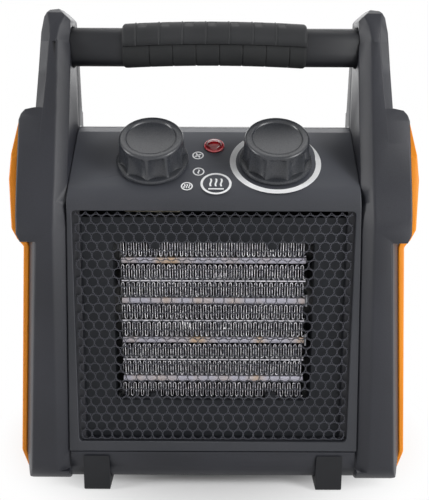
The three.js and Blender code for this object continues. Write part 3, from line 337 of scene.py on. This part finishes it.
def lathe(bm, profile, centre, axis, steps=96):
    # spins a chain of (radius, height) points into a solid of revolution; a closed chain makes a ring
    up = Vector(axis).normalized()
    side = up.orthogonal().normalized()
    closed = profile[0] == profile[-1]
    corners = profile[:-1] if closed else profile
    verts = [bm.verts.new(centre + side * r * mm + up * h * mm) for r, h in corners]
    ends = list(zip(verts, verts[1:])) + ([(verts[-1], verts[0])] if closed else [])
    edges = [bm.edges.new(pair) for pair in ends]
    bmesh.ops.spin(bm, geom=verts + edges, cent=centre, axis=up, angle=math.tau, steps=steps, use_merge=True)
    bmesh.ops.remove_doubles(bm, verts=bm.verts, dist=1e-6)
    bmesh.ops.recalc_face_normals(bm, faces=bm.faces)


def turnPiece(nodeName, finishName, profile, place, axis, steps=72):
    # a smooth round piece in the place of a faceted one
    bm = bmesh.new()
    lathe(bm, profile, Vector(place) * mm, axis, steps)
    return finish(bm, "turned_" + nodeName, finishName, nodeName, True, 35)


for name in ("front_housing", "rear_housing"):
    dress(name, "charcoalAbs", 1.1, 3, 24)
panel = dress("front_panel", "panelAbs", 0.7, 3, 24)
for vertex in panel.data.vertices:
    # a little wider, so that the seam beside it is a hairline
    vertex.co.x *= 1.004
for side in ("left", "right"):
    dress(side + "_side_panel", "orangeAbs", 0.9, 3, 20)
    dress(side + "_front_foot", "footRubber", 0.8, 3)
print("shells dressed")


meshGrille = {"pitch": 5.25, "wall": 0.48, "thickness": 0.75, "centreZ": 90.0}


def makeGrille():
    # the fine expanded mesh: one hexagon repeated into rows, its walls inset, then given a depth
    low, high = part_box("front_grille")
    pitch = meshGrille["pitch"] * mm
    rowStep = pitch * math.sqrt(3) / 2
    centre = Vector((0, low.y, meshGrille["centreZ"] * mm))
    bm = bmesh.new()
    upright = Matrix.Translation(centre) @ Matrix.Rotation(math.radians(90), 4, "X")
    cell = bmesh.ops.create_circle(bm, cap_ends=True, segments=6, radius=pitch / math.sqrt(3),
                                   matrix=upright)
    pointUp = Matrix.Rotation(math.radians(30), 3, "Y")
    bmesh.ops.rotate(bm, verts=cell["verts"], cent=centre, matrix=pointUp)
    columns = int((high.x - low.x) / pitch / 2) + 2
    rows = int((high.z - low.z) / rowStep / 2) + 2
    first = bm.faces[:] + bm.edges[:] + bm.verts[:]
    for column in range(-columns, columns + 1):
        if column:
            copied = bmesh.ops.duplicate(bm, geom=first)["geom"]
            bmesh.ops.translate(bm, vec=(column * pitch, 0, 0), verts=vertsOf(copied))
    strip = bm.faces[:] + bm.edges[:] + bm.verts[:]
    for row in range(-rows, rows + 1):
        if row:
            copied = bmesh.ops.duplicate(bm, geom=strip)["geom"]
            bmesh.ops.translate(bm, vec=((row % 2) * pitch / 2, 0, row * rowStep), verts=vertsOf(copied))
    bmesh.ops.remove_doubles(bm, verts=bm.verts, dist=2e-5)
    inner = bmesh.ops.inset_individual(bm, faces=bm.faces[:], thickness=meshGrille["wall"] * mm / 2)
    walls = set(inner["faces"])
    bmesh.ops.delete(bm, geom=[f for f in bm.faces if f not in walls], context="FACES")
    for edge, normal in ((low, (-1, 0, 0)), (high, (1, 0, 0)), (low, (0, 0, -1)), (high, (0, 0, 1))):
        bmesh.ops.bisect_plane(bm, geom=bm.faces[:] + bm.edges[:] + bm.verts[:], plane_co=edge,
                               plane_no=normal, clear_outer=True)
    sheet = bmesh.ops.extrude_face_region(bm, geom=bm.faces[:])["geom"]
    bmesh.ops.translate(bm, vec=(0, meshGrille["thickness"] * mm, 0), verts=vertsOf(sheet))
    bmesh.ops.recalc_face_normals(bm, faces=bm.faces)
    finish(bm, "honeycomb_mesh", "meshCoat", "front_grille", True, 0)


makeGrille()
print("grille made")


finShape = {"pitch": 2.6, "sheet": 0.4, "tip": 0.65}


def makeFins(nodeName):
    # one fold with rounded tips, repeated across the row, then given its depth and its sheet thickness
    low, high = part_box(nodeName)
    folds = round((high.x - low.x) / mm / finShape["pitch"])
    pitch = (high.x - low.x) / folds
    half = finShape["sheet"] * mm / 2
    bottom, top = low.z + half, high.z - half
    tip = finShape["tip"] * mm
    path = [(0.0, bottom + tip), (0.02, top - tip), (0.12, top - tip * 0.3), (0.25, top),
            (0.38, top - tip * 0.3), (0.48, top - tip), (0.52, bottom + tip), (0.62, bottom + tip * 0.3),
            (0.75, bottom), (0.88, bottom + tip * 0.3), (1.0, bottom + tip)]
    bm = bmesh.new()
    last = bm.verts.new((low.x + path[0][0] * pitch, low.y, path[0][1]))
    for share, z in path[1:]:
        new = bmesh.ops.extrude_vert_indiv(bm, verts=[last])["verts"][0]
        new.co = (low.x + share * pitch, low.y, z)
        last = new
    unit = bm.verts[:] + bm.edges[:]
    for i in range(1, folds):
        copied = bmesh.ops.duplicate(bm, geom=unit)["geom"]
        bmesh.ops.translate(bm, vec=(i * pitch, 0, 0), verts=vertsOf(copied))
    bmesh.ops.remove_doubles(bm, verts=bm.verts, dist=1e-5)
    swept = bmesh.ops.extrude_edge_only(bm, edges=bm.edges[:])["geom"]
    bmesh.ops.translate(bm, vec=(0, high.y - low.y, 0), verts=vertsOf(swept))
    bmesh.ops.recalc_face_normals(bm, faces=bm.faces)
    piece = finish(bm, "folded_" + nodeName, "finAluminium", nodeName, True, 50)
    thick = piece.modifiers.new("sheetThickness", "SOLIDIFY")
    thick.thickness = finShape["sheet"] * mm
    thick.offset = 0


for i in range(1, 9):
    makeFins("fin_row_" + str(i))
for i in range(1, 5):
    dress("heating_bar_" + str(i), "barAluminium", 0.25, 2)
for i in range(1, 4):
    dress("stack_plate_" + str(i), "plateAluminium", 0.12, 2)
dress("element_frame", "heatResin", 0.4, 2)
dress("thermal_cutout", "paleResin", 0.3, 2)
for level in ("upper", "lower"):
    dress(level + "_terminal", "zincSteel", 0.2, 2)
print("element made")


fan = {"hub": 17.0, "half": 10.0, "tip": 54.0, "blades": 7, "root": 52, "flat": 30, "chord": 27.0,
       "thick": 1.8, "around": 18, "outward": 16}


def makeImpeller():
    # a hub with blades that flatten and sweep towards the tip, each a curved grid given its thickness
    centre = Vector((0, body["fanMiddle"], body["fanHeight"])) * mm
    hub = bmesh.new()
    half, radius = fan["half"], fan["hub"]
    lathe(hub, [(0, -half), (radius - 4.4, -half), (radius - 3.6, -half + 0.3), (radius - 0.4, -half + 3.4),
                (radius, -half + 4.2), (radius, half - 0.3), (radius - 0.3, half), (radius - 1.7, half),
                (radius - 2, half - 0.3), (radius - 2, half - 8), (6, half - 8), (6, half), (2.8, half),
                (2.8, -half + 3), (0, -half + 3)], centre, (0, 1, 0), 72)
    finish(hub, "fan_hub", "heatResin", "fan_impeller")
    bm = bmesh.new()
    for number in range(fan["blades"]):
        grid = bmesh.ops.create_grid(bm, x_segments=fan["around"], y_segments=fan["outward"],
                                     size=0.5)["verts"]
        for v in grid:
            along, share = v.co.x, v.co.y + 0.5
            r = (radius - 0.8) + (fan["tip"] - fan["thick"] / 4 - radius + 0.8) * share
            turn = math.radians(fan["root"] + (fan["flat"] - fan["root"]) * share)
            chord = fan["chord"] * (0.72 + 0.55 * share - 0.2 * share * share)
            lift = 0.09 * chord * (1 - (2 * along) ** 2)
            spread = along * chord * math.cos(turn) - lift * math.sin(turn)
            axial = along * chord * math.sin(turn) + lift * math.cos(turn)
            axial = max(-half + 1.4, min(half - 1.4, axial))
            angle = number * math.tau / fan["blades"] + 0.5 * share * share + spread / r
            v.co = centre + Vector((r * math.cos(angle), axial, r * math.sin(angle))) * mm
    bmesh.ops.recalc_face_normals(bm, faces=bm.faces)
    blades = finish(bm, "fan_blades", "heatResin", "fan_impeller")
    thick = blades.modifiers.new("bladeThickness", "SOLIDIFY")
    thick.thickness = fan["thick"] * mm
    thick.offset = 0
    roundEdges(blades, 0.5, 2, 60)


makeImpeller()
motor = body["motorFace"]
turnPiece("fan_motor", "zincSteel", [
    (0, motor + 13), (2.8, motor + 13), (2.8, motor), (7.6, motor), (8.2, motor + 0.4), (9, motor + 2),
    (30.6, motor + 3), (31, motor + 3.4), (31, motor + 5.6), (30.6, motor + 6), (27.4, motor + 6),
    (27, motor + 6.4), (27, motor + 31.6), (26.6, motor + 32.4), (24.6, motor + 33.8), (24, motor + 34),
    (9, motor + 34), (8.4, motor + 34.4), (0, motor + 34)], (0, 0, body["fanHeight"]), (0, 1, 0), 96)
dress("fan_duct", "heatResin", 0.5, 2)
dress("motor_shaft", "zincSteel", 0.2, 2)
dress("motor_bracket", "zincSteel", 0.4, 2)
dress("terminal_block", "paleResin", 0.4, 2)
print("fan and motor made")


intake = {"radius": 58.0, "rings": 4, "bar": 2.4, "hub": 8.0, "thick": 3.0, "spokes": 6, "lip": 3.0}


def makeIntake():
    # concentric round-edged rings on three crossing spokes, inside a flanged rim
    rear = body["gratingBack"]
    front = rear - intake["thick"]
    wall = body["wallOutside"]
    centre = Vector((0, 0, body["fanHeight"] * mm))
    outer = intake["radius"] - intake["bar"] - 1
    pitch = (outer - intake["hub"]) / intake["rings"]
    bm = bmesh.new()

    def band(inner, edge):
        e = 0.5
        return [(inner, front + e), (inner + e, front), (edge - e, front), (edge, front + e),
                (edge, rear - e), (edge - e, rear), (inner + e, rear), (inner, rear - e), (inner, front + e)]

    for i in range(1, intake["rings"]):
        radius = intake["hub"] + i * pitch
        lathe(bm, band(radius - intake["bar"], radius), centre, (0, 1, 0), 120)
    hub = intake["hub"]
    lathe(bm, [(0, front), (hub - 0.5, front), (hub, front + 0.5), (hub, rear - 0.5), (hub - 0.5, rear),
               (0, rear)], centre, (0, 1, 0), 72)
    rim, lip = intake["radius"], intake["radius"] + intake["lip"]
    lathe(bm, [(outer, wall - 2), (lip, wall - 2), (lip, wall), (rim, wall), (rim, rear - 0.5),
               (rim - 0.5, rear), (outer + 0.5, rear), (outer, rear - 0.5), (outer, wall - 2)],
          centre, (0, 1, 0), 160)
    finish(bm, "intake_rings", "blackAbs", "intake_grille", True, 30)
    bm = bmesh.new()
    for i in range(intake["spokes"] // 2):
        turn = Matrix.Rotation(i * math.tau / intake["spokes"], 4, "Y")
        shape = Matrix.Diagonal(((2 * outer + 1) * mm, (rear - front - 0.3) * mm, intake["bar"] * mm, 1))
        place = Matrix.Translation(centre + Vector((0, (front + rear) / 2 * mm, 0)))
        bmesh.ops.create_cube(bm, size=1.0, matrix=place @ turn @ shape)
    spokes = finish(bm, "intake_spokes", "blackAbs", "intake_grille", True, 30)
    roundEdges(spokes, 0.5, 2, 30)


makeIntake()
inside, step, back = body["wallOutside"], body["glandStep"], body["halfDepth"]
turnPiece("cable_gland", "blackAbs", [
    (3.9, inside - 5), (8, inside - 5), (8, inside), (6, inside), (6, step + 0.3), (7.6, step + 0.3),
    (8, step + 0.7), (6.9, back - 0.4), (6.5, back), (4.4, back), (3.9, back - 0.4), (3.9, inside - 5)],
    (60, 0, 26), (0, 1, 0))
for side, x in (("left", -60.8), ("right", 60.8)):
    turnPiece(side + "_rear_foot", "footRubber", [
        (0, 0), (8, 0), (8.7, 0.3), (9, 1), (9, 3.8), (8.7, 4.2), (2.6, 4.2), (2.6, 9), (0, 9)],
        (x, 57, 0), (0, 0, 1), 64)
for i in range(1, 5):
    dress("body_screw_" + str(i), "zincSteel", 0.15, 2)
for i in range(1, 3):
    dress("arm_screw_" + str(i), "zincSteel", 0.15, 2)
print("rear fixings made")


knobShape = {"base": 18.2, "waist": 17.0, "top": 15.5, "height": 15.6, "flange": 2.2, "lobes": 10,
             "flute": 9.0, "fluteOut": 6.9, "gap": 0.6, "dish": 12.2, "dishDepth": 0.7, "x": 31.0,
             "upSlope": 24.3}


def knobRadius(angle, radius, fluted):
    # the radius at an angle, cut back where a flute crosses it; a share below 1 makes it shallower
    if not fluted:
        return radius
    step = math.tau / knobShape["lobes"]
    off = (angle % step) - step / 2
    centre = 0.4 * knobShape["waist"] + 0.6 * radius + knobShape["fluteOut"] + 2.6 * (1 - fluted)
    inside = knobShape["flute"] ** 2 - (centre * math.sin(off)) ** 2
    return min(radius, centre * math.cos(off) - math.sqrt(inside)) if inside > 0 else radius


def makeKnob(nodeName, x, turn):
    # one loop of edges raised level by level; the levels of the skirt are drawn in by the flutes
    k = knobShape
    floor = k["gap"] + k["flange"]
    top = k["gap"] + k["height"]
    levels = [
        (k["base"] - 0.5, k["gap"], 0), (k["base"], k["gap"] + 0.4, 0), (k["base"], floor - 0.7, 0),
        (k["base"] - 0.25, floor - 0.2, 0), (k["base"] - 0.8, floor, 0), (k["waist"] + 0.2, floor + 0.02, 1),
        (k["waist"] - 0.05, floor + 0.4, 1), (k["waist"] - 0.6, floor + 4.5, 1),
        (k["top"] + 0.52, top - 3.0, 1), (k["top"] + 0.48, top - 2.3, 0.9), (k["top"] + 0.45, top - 1.8, 0.7),
        (k["top"] + 0.42, top - 1.4, 0.4), (k["top"] + 0.4, top - 1.1, 0), (k["top"] + 0.35, top - 0.8, 0),
        (k["top"] + 0.15, top - 0.35, 0), (k["top"] - 0.35, top - 0.05, 0), (k["top"] - 0.8, top, 0),
        (k["dish"] + 0.5, top, 0), (k["dish"] + 0.25, top - 0.08, 0), (k["dish"] + 0.1, top - 0.4, 0),
        (k["dish"] - 0.15, top - k["dishDepth"] + 0.02, 0), (k["dish"] - 0.5, top - k["dishDepth"], 0),
        (k["dish"] - 1.2, top - k["dishDepth"], 0), (0.3, top - k["dishDepth"], 0),
    ]
    bm = bmesh.new()
    loop = bmesh.ops.create_circle(bm, cap_ends=True, segments=240, radius=1.0)["verts"]
    edges = bm.edges[:]
    for number, (radius, height, fluted) in enumerate(levels):
        if number:
            grown = bmesh.ops.extrude_edge_only(bm, edges=edges)["geom"]
            edges = [e for e in grown if isinstance(e, bmesh.types.BMEdge) and e.is_boundary]
            loop = vertsOf(grown)
        for v in loop:
            angle = math.atan2(v.co.y, v.co.x)
            r = knobRadius(angle, radius, fluted) * mm
            v.co = (r * math.cos(angle), r * math.sin(angle), height * mm)
    bmesh.ops.edgeloop_fill(bm, edges=edges)
    bmesh.ops.recalc_face_normals(bm, faces=bm.faces)
    place = Matrix.Translation((x * mm, k["upSlope"] * mm, 0)) @ Matrix.Rotation(math.radians(turn), 4, "Z")
    bmesh.ops.transform(bm, matrix=onPanel @ place, verts=bm.verts)
    finish(bm, "fluted_" + nodeName, "knobAbs", nodeName, True, 40)


makeKnob("selector_knob", -knobShape["x"], -60)
makeKnob("thermostat_knob", knobShape["x"], -73)
for name in ("selector_spindle", "thermostat_spindle"):
    dress(name, "zincSteel", 0.2, 2)
dress("selector_switch", "paleResin", 0.5, 2)
dress("thermostat_body", "zincSteel", 0.4, 2)
print("knobs made")


def makeLamp():
    # a flanged lens with a domed top
    centre = panelOrigin + panelUp * lampShape["upSlope"] * mm
    r, d = lampShape["rim"], lampShape["dome"]
    dome = [(d * math.cos(a), 1.0 + 1.9 * math.sin(a)) for a in [math.radians(9 * i) for i in range(10)]]
    bm = bmesh.new()
    lathe(bm, [(0, -1.2), (4.2, -1.2), (4.2, 0.3), (r - 0.3, 0.3), (r, 0.5), (r, 0.75), (r - 0.35, 1.05),
               (d + 0.25, 1.05)] + dome + [(0, 2.9)], centre, panelOut, 72)
    finish(bm, "domed_lamp_lens", "redPolycarbonate", "lamp_lens", True, 45)
    dress("lamp_holder", "paleResin", 0.3, 2)


makeLamp()


marks = {"lift": 0.04, "ringOuter": 23.05, "widest": 3.1, "taper": 0.16, "ringStart": 134,
         "ringSweep": 264,
         "icons": [(-8.2, 29.2), (-7.7, 16.9), (-13.3, 6.2)], "iconRadius": 2.95, "iconLine": 0.7,
         "plate": (1.0, 8.2), "plateRadius": 7.7, "plateLine": 1.2}


def finishMark(bm, name):
    # flat print laid on the slope, facing outwards
    place = onPanel @ Matrix.Translation((0, 0, marks["lift"] * mm))
    bmesh.ops.transform(bm, matrix=place, verts=bm.verts)
    for face in bm.faces:
        face.normal_update()
    bmesh.ops.reverse_faces(bm, faces=[f for f in bm.faces if f.normal.dot(panelOut) < 0])
    finish(bm, name, "whiteInk", "front_panel", False, 0)


def makeWedgeRing():
    # the band round the right knob, narrowing from its blunt start to a point
    outer = marks["ringOuter"]
    bm = bmesh.new()
    centre = Vector((knobShape["x"] * mm, knobShape["upSlope"] * mm, 0))
    start = math.radians(marks["ringStart"])
    outward = Vector((math.cos(start), math.sin(start), 0))
    pair = [bm.verts.new(centre + outward * outer * mm), bm.verts.new(centre + outward * (outer - 3) * mm)]
    edge = bm.edges.new(pair)
    sweep = math.radians(marks["ringSweep"])
    bmesh.ops.spin(bm, geom=pair + [edge], cent=centre, axis=(0, 0, 1), angle=sweep, steps=110)
    for v in bm.verts:
        arm = v.co - centre
        if arm.length < (outer - 1) * mm:
            share = ((math.atan2(arm.y, arm.x) - start) % math.tau) / sweep
            share = 0 if share > 1.2 else share
            narrow = (1 - marks["taper"] * share) * max(0, min(1, (1 - share) / 0.12))
            v.co = centre + arm.normalized() * (outer - marks["widest"] * narrow - 0.02) * mm
    finishMark(bm, "temperature_wedge")


def ringInto(bm, x, y, outer, line):
    place = Matrix.Translation((x * mm, y * mm, 0))
    loops = [bmesh.ops.create_circle(bm, cap_ends=False, segments=56, radius=r * mm, matrix=place)["verts"]
             for r in (outer, outer - line)]
    bmesh.ops.bridge_loops(bm, edges=list({e for loop in loops for v in loop for e in v.link_edges}))


def waveInto(bm, x, y, height, line):
    # one rising wave of warm air: a short bar bent into an S
    place = Matrix.Translation((x * mm, y * mm, 0)) @ Matrix.Diagonal((line * mm, height * mm, 1, 1))
    grid = bmesh.ops.create_grid(bm, x_segments=1, y_segments=12, size=0.5, matrix=place)["verts"]
    for v in grid:
        v.co.x += 0.28 * mm * math.sin((v.co.y / mm - y) / height * math.tau)


def makeIcons():
    (fanX, fanY), (lowX, lowY), (highX, highY) = marks["icons"]
    bm = bmesh.new()
    for x, y in marks["icons"]:
        ringInto(bm, x, y, marks["iconRadius"], marks["iconLine"])
    for i in range(4):
        turned = Matrix.Rotation(math.radians(90 * i + 20), 4, "Z")
        spot = Matrix.Translation((fanX * mm, fanY * mm, 0)) @ turned
        blade = Matrix.Translation((1.05 * mm, 0.25 * mm, 0)) @ Matrix.Diagonal((0.95, 0.5, 1, 1))
        bmesh.ops.create_circle(bm, cap_ends=True, segments=20, radius=1.0 * mm, matrix=spot @ blade)
    waveInto(bm, lowX, lowY, 3.0, 0.75)
    for step in (-1.2, 0, 1.2):
        waveInto(bm, highX + step, highY, 2.8, 0.62)
    finishMark(bm, "switch_marks")
    bm = bmesh.new()
    x, y = marks["plate"]
    ringInto(bm, x, y, marks["plateRadius"], marks["plateLine"])
    for step in (-2.6, 0, 2.6):
        waveInto(bm, x + step, y + 0.8, 5.6, 0.9)
    base = Matrix.Translation((x * mm, (y - 3.8) * mm, 0)) @ Matrix.Diagonal((7.6 * mm, 0.9 * mm, 1, 1))
    bmesh.ops.create_grid(bm, x_segments=1, y_segments=1, size=0.5, matrix=base)
    finishMark(bm, "warm_air_mark")


makeWedgeRing()
makeIcons()
print("panel marks made")


gripShape = {"length": 92.5, "pitch": 11.7, "grooves": 7, "rise": 1.3, "step": 0.3, "corner": 8.0,
             "skin": 1.3,
             "upper": {"shift": -3.9, "deep": 0.14, "half": 0.35, "ridge": 0.34},
             "lower": {"shift": 2.4, "deep": 0.5, "half": 0.36, "ridge": 0.0}}


def arch(x):
    # how far the middle of the bar and its grip rise above their ends, at x metres
    return gripShape["rise"] * mm * max(0, 1 - (2 * x / (gripShape["length"] * mm)) ** 2)


def makeBar():
    # the bar's own shape, cut into short lengths so that its middle can rise
    bm = mergedCopy("carrying_bar")
    for i in range(-16, 17):
        bmesh.ops.bisect_plane(bm, geom=bm.faces[:] + bm.edges[:] + bm.verts[:],
                               plane_co=(i * 2.9 * mm, 0, 0), plane_no=(1, 0, 0))
    for v in bm.verts:
        v.co.z += arch(v.co.x)
    piece = finish(bm, "arched_carrying_bar", "blackAbs", "carrying_bar", True, 40)
    roundEdges(piece, 0.4, 2, 50)


def makeGrip(half):
    # half a rounded rectangle swept along the bar, drawn in at grooves, pockets and ends
    upper = half == "upper"
    nodeName = half + "_grip"
    low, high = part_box(nodeName)
    shape = gripShape[half]
    y0, y1 = low.y, high.y
    far, near = (high.z, low.z) if upper else (low.z, high.z)
    sign = 1 if upper else -1
    radius = gripShape["corner"] * mm
    turns = [math.radians(90 * i / 10) for i in range(11)]
    points = [(y0, near)]
    points += [(y0 + radius * (1 - math.cos(a)), far - sign * radius * (1 - math.sin(a))) for a in turns]
    points += [(y1 - radius * (1 - math.sin(a)), far - sign * radius * (1 - math.cos(a))) for a in turns]
    points += [(y1, near)]
    bm = bmesh.new()
    last = bm.verts.new((low.x, *points[0]))
    for y, z in points[1:]:
        last = bmesh.ops.extrude_vert_indiv(bm, verts=[last])["verts"][0]
        last.co = (low.x, y, z)
    edges = bm.edges[:]
    steps = round((high.x - low.x) / mm / gripShape["step"])
    for i in range(steps):
        grown = bmesh.ops.extrude_edge_only(bm, edges=edges)["geom"]
        verts = vertsOf(grown)
        edges = [e for e in grown if isinstance(e, bmesh.types.BMEdge) and all(v in verts for v in e.verts)]
        bmesh.ops.translate(bm, vec=((high.x - low.x) / steps, 0, 0), verts=verts)
    middleY = (y0 + y1) / 2
    first = shape["shift"] - (gripShape["grooves"] - 1) * gripShape["pitch"] / 2
    for v in bm.verts:
        x = v.co.x / mm
        slot = min(gripShape["grooves"] - 1, max(0, round((x - first) / gripShape["pitch"])))
        away = x - first - slot * gripShape["pitch"]
        groove = shape["deep"] * max(0, 1 - (away / shape["half"]) ** 2)
        lip = shape["ridge"] * max(0, 1 - abs(away + shape["half"] + 0.3) / 0.45)
        end = gripShape["length"] / 2 - abs(x)
        rounding = 1.1 * max(0, 1 - end / 1.5) ** 2
        # the pockets sit high on the front rounding, just beside each groove of the upper half
        above = (v.co.z - far + sign * radius) * sign
        tilt = math.degrees(math.atan2(above, middleY - v.co.y)) if upper else 0
        pocket = 0.6 if upper and 0.7 < away < 4.8 and 34 < tilt < 62 else 0
        flat = Vector((0, (v.co.y - middleY) / ((y1 - y0) / 2), (v.co.z - near) / abs(far - near)))
        if flat.length > 0:
            v.co -= flat.normalized() * (0.14 + groove + pocket + rounding - lip) * mm
        v.co.z += arch(v.co.x)
    bmesh.ops.recalc_face_normals(bm, faces=bm.faces)
    middle = Vector((0, middleY, near))
    if sum((f.calc_center_median() - middle).dot(f.normal) * f.calc_area() for f in bm.faces) < 0:
        bmesh.ops.reverse_faces(bm, faces=bm.faces[:])
    # the lower half takes the rubber copy with painted shade
    rubber = "gripRubber" if upper else "shadedLowerGripRubber"
    piece = finish(bm, "grooved_" + nodeName, rubber, nodeName, True, 40)
    thick = piece.modifiers.new("skin", "SOLIDIFY")
    thick.thickness = gripShape["skin"] * mm
    thick.offset = -1


makeBar()
makeGrip("upper")
makeGrip("lower")
print("bar and grips made")


studio = {"lens": 38.4, "sensor": 24.0, "place": (0.0004, -0.4637, 0.215), "pitch": 77.5, "roll": 0.24,
          "ambient": 0.2, "floor": "#f6f6f6", "fadeFrom": 0.06, "fadeTo": 0.135}

# name: place in metres, size, power in watts
lights = {
    "leftBox": ((-0.98, -0.37, 0.35), (0.3, 0.8), 6.9),
    "rightBox": ((0.62, -0.47, 0.35), (0.3, 0.7), 4.9),
    "topBox": ((0.0, 0.32, 1.05), (0.9, 0.5), 2.6),
    "frontFill": ((0.7, -1.0, 0.15), (0.5, 0.4), 1.7),
    "rearFill": ((0.0, 0.9, 0.5), (0.9, 0.6), 3.0),
}


def makeCamera():
    data = bpy.data.cameras.new("photoCamera")
    data.sensor_fit = "VERTICAL"
    data.sensor_height = studio["sensor"]
    data.lens = studio["lens"]
    data.clip_start = 0.01
    camera = bpy.data.objects.new("photoCamera", data)
    pitch = Matrix.Rotation(math.radians(studio["pitch"]), 4, "X")
    roll = Matrix.Rotation(math.radians(studio["roll"]), 4, "Z")
    camera.matrix_world = Matrix.Translation(studio["place"]) @ pitch @ roll
    bpy.context.scene.collection.objects.link(camera)
    bpy.context.scene.camera = camera


def softLight(name, place, size, power):
    data = bpy.data.lights.new(name, "AREA")
    data.shape = "RECTANGLE"
    data.size, data.size_y = size
    data.energy = power
    light = bpy.data.objects.new(name, data)
    aim = Vector((0, 0, 0.12)) - Vector(place)
    light.matrix_world = Matrix.Translation(place) @ aim.to_track_quat("-Z", "Y").to_matrix().to_4x4()
    bpy.context.scene.collection.objects.link(light)


def makeBackdrop():
    # white for rays from the camera, mirrors and glass; a dim even light for everything else
    world = bpy.data.worlds.new("studioWorld")
    bpy.context.scene.world = world
    world.use_nodes = True
    tree = world.node_tree
    plain = tree.nodes["Background"]
    plain.inputs["Color"].default_value = (1, 1, 1, 1)
    plain.inputs["Strength"].default_value = studio["ambient"]
    path = addNode(tree, "ShaderNodeLightPath").outputs
    either = addNode(tree, "ShaderNodeMath", {"operation": "MAXIMUM"}, links={
        0: path["Is Camera Ray"], 1: path["Is Glossy Ray"]})
    seen = addNode(tree, "ShaderNodeMath", {"operation": "MAXIMUM"}, links={
        0: either.outputs[0], 1: path["Is Transmission Ray"]})
    white = addNode(tree, "ShaderNodeBackground", values={"Color": (1, 1, 1, 1), "Strength": 1.0})
    mixed = addNode(tree, "ShaderNodeMixShader", links={
        0: seen.outputs[0], 1: plain.outputs[0], 2: white.outputs[0]})
    tree.links.new(mixed.outputs[0], tree.nodes["World Output"].inputs["Surface"])


def makeFloor():
    # a pale floor that fades into the white backdrop away from the heater
    material = bpy.data.materials.new("studioFloor")
    material.use_nodes = True
    tree = material.node_tree
    shader = tree.nodes["Principled BSDF"]
    shader.inputs["Base Color"].default_value = linear(studio["floor"])
    shader.inputs["Roughness"].default_value = 0.9
    shader.inputs["Specular IOR Level"].default_value = 0.1
    place = addNode(tree, "ShaderNodeTexCoord").outputs["Object"]
    away = addNode(tree, "ShaderNodeVectorMath", {"operation": "LENGTH"}, links={0: place}).outputs["Value"]
    fade = addNode(tree, "ShaderNodeMapRange", {"interpolation_type": "SMOOTHSTEP"},
                   {"From Min": studio["fadeFrom"], "From Max": studio["fadeTo"]},
                   {"Value": away}).outputs["Result"]
    path = addNode(tree, "ShaderNodeLightPath").outputs
    seen = addNode(tree, "ShaderNodeMath", {"operation": "MAXIMUM"}, links={
        0: path["Is Camera Ray"], 1: path["Is Glossy Ray"]})
    share = addNode(tree, "ShaderNodeMath", {"operation": "MULTIPLY"}, links={0: fade, 1: seen.outputs[0]})
    white = addNode(tree, "ShaderNodeEmission", values={"Color": (1, 1, 1, 1), "Strength": 1.0})
    mixed = addNode(tree, "ShaderNodeMixShader", links={
        0: share.outputs[0], 1: shader.outputs[0], 2: white.outputs[0]})
    tree.links.new(mixed.outputs[0], tree.nodes["Material Output"].inputs["Surface"])
    bm = bmesh.new()
    bmesh.ops.create_grid(bm, x_segments=2, y_segments=2, size=3.0)
    mesh = bpy.data.meshes.new("studioFloor")
    bm.to_mesh(mesh)
    bm.free()
    floor = bpy.data.objects.new("studioFloor", mesh)
    mesh.materials.append(material)
    bpy.context.scene.collection.objects.link(floor)


makeCamera()
for name, (place, size, power) in lights.items():
    softLight(name, place, size, power)
makeBackdrop()
makeFloor()
bpy.context.scene.view_settings.view_transform = "Standard"
print("studio made")
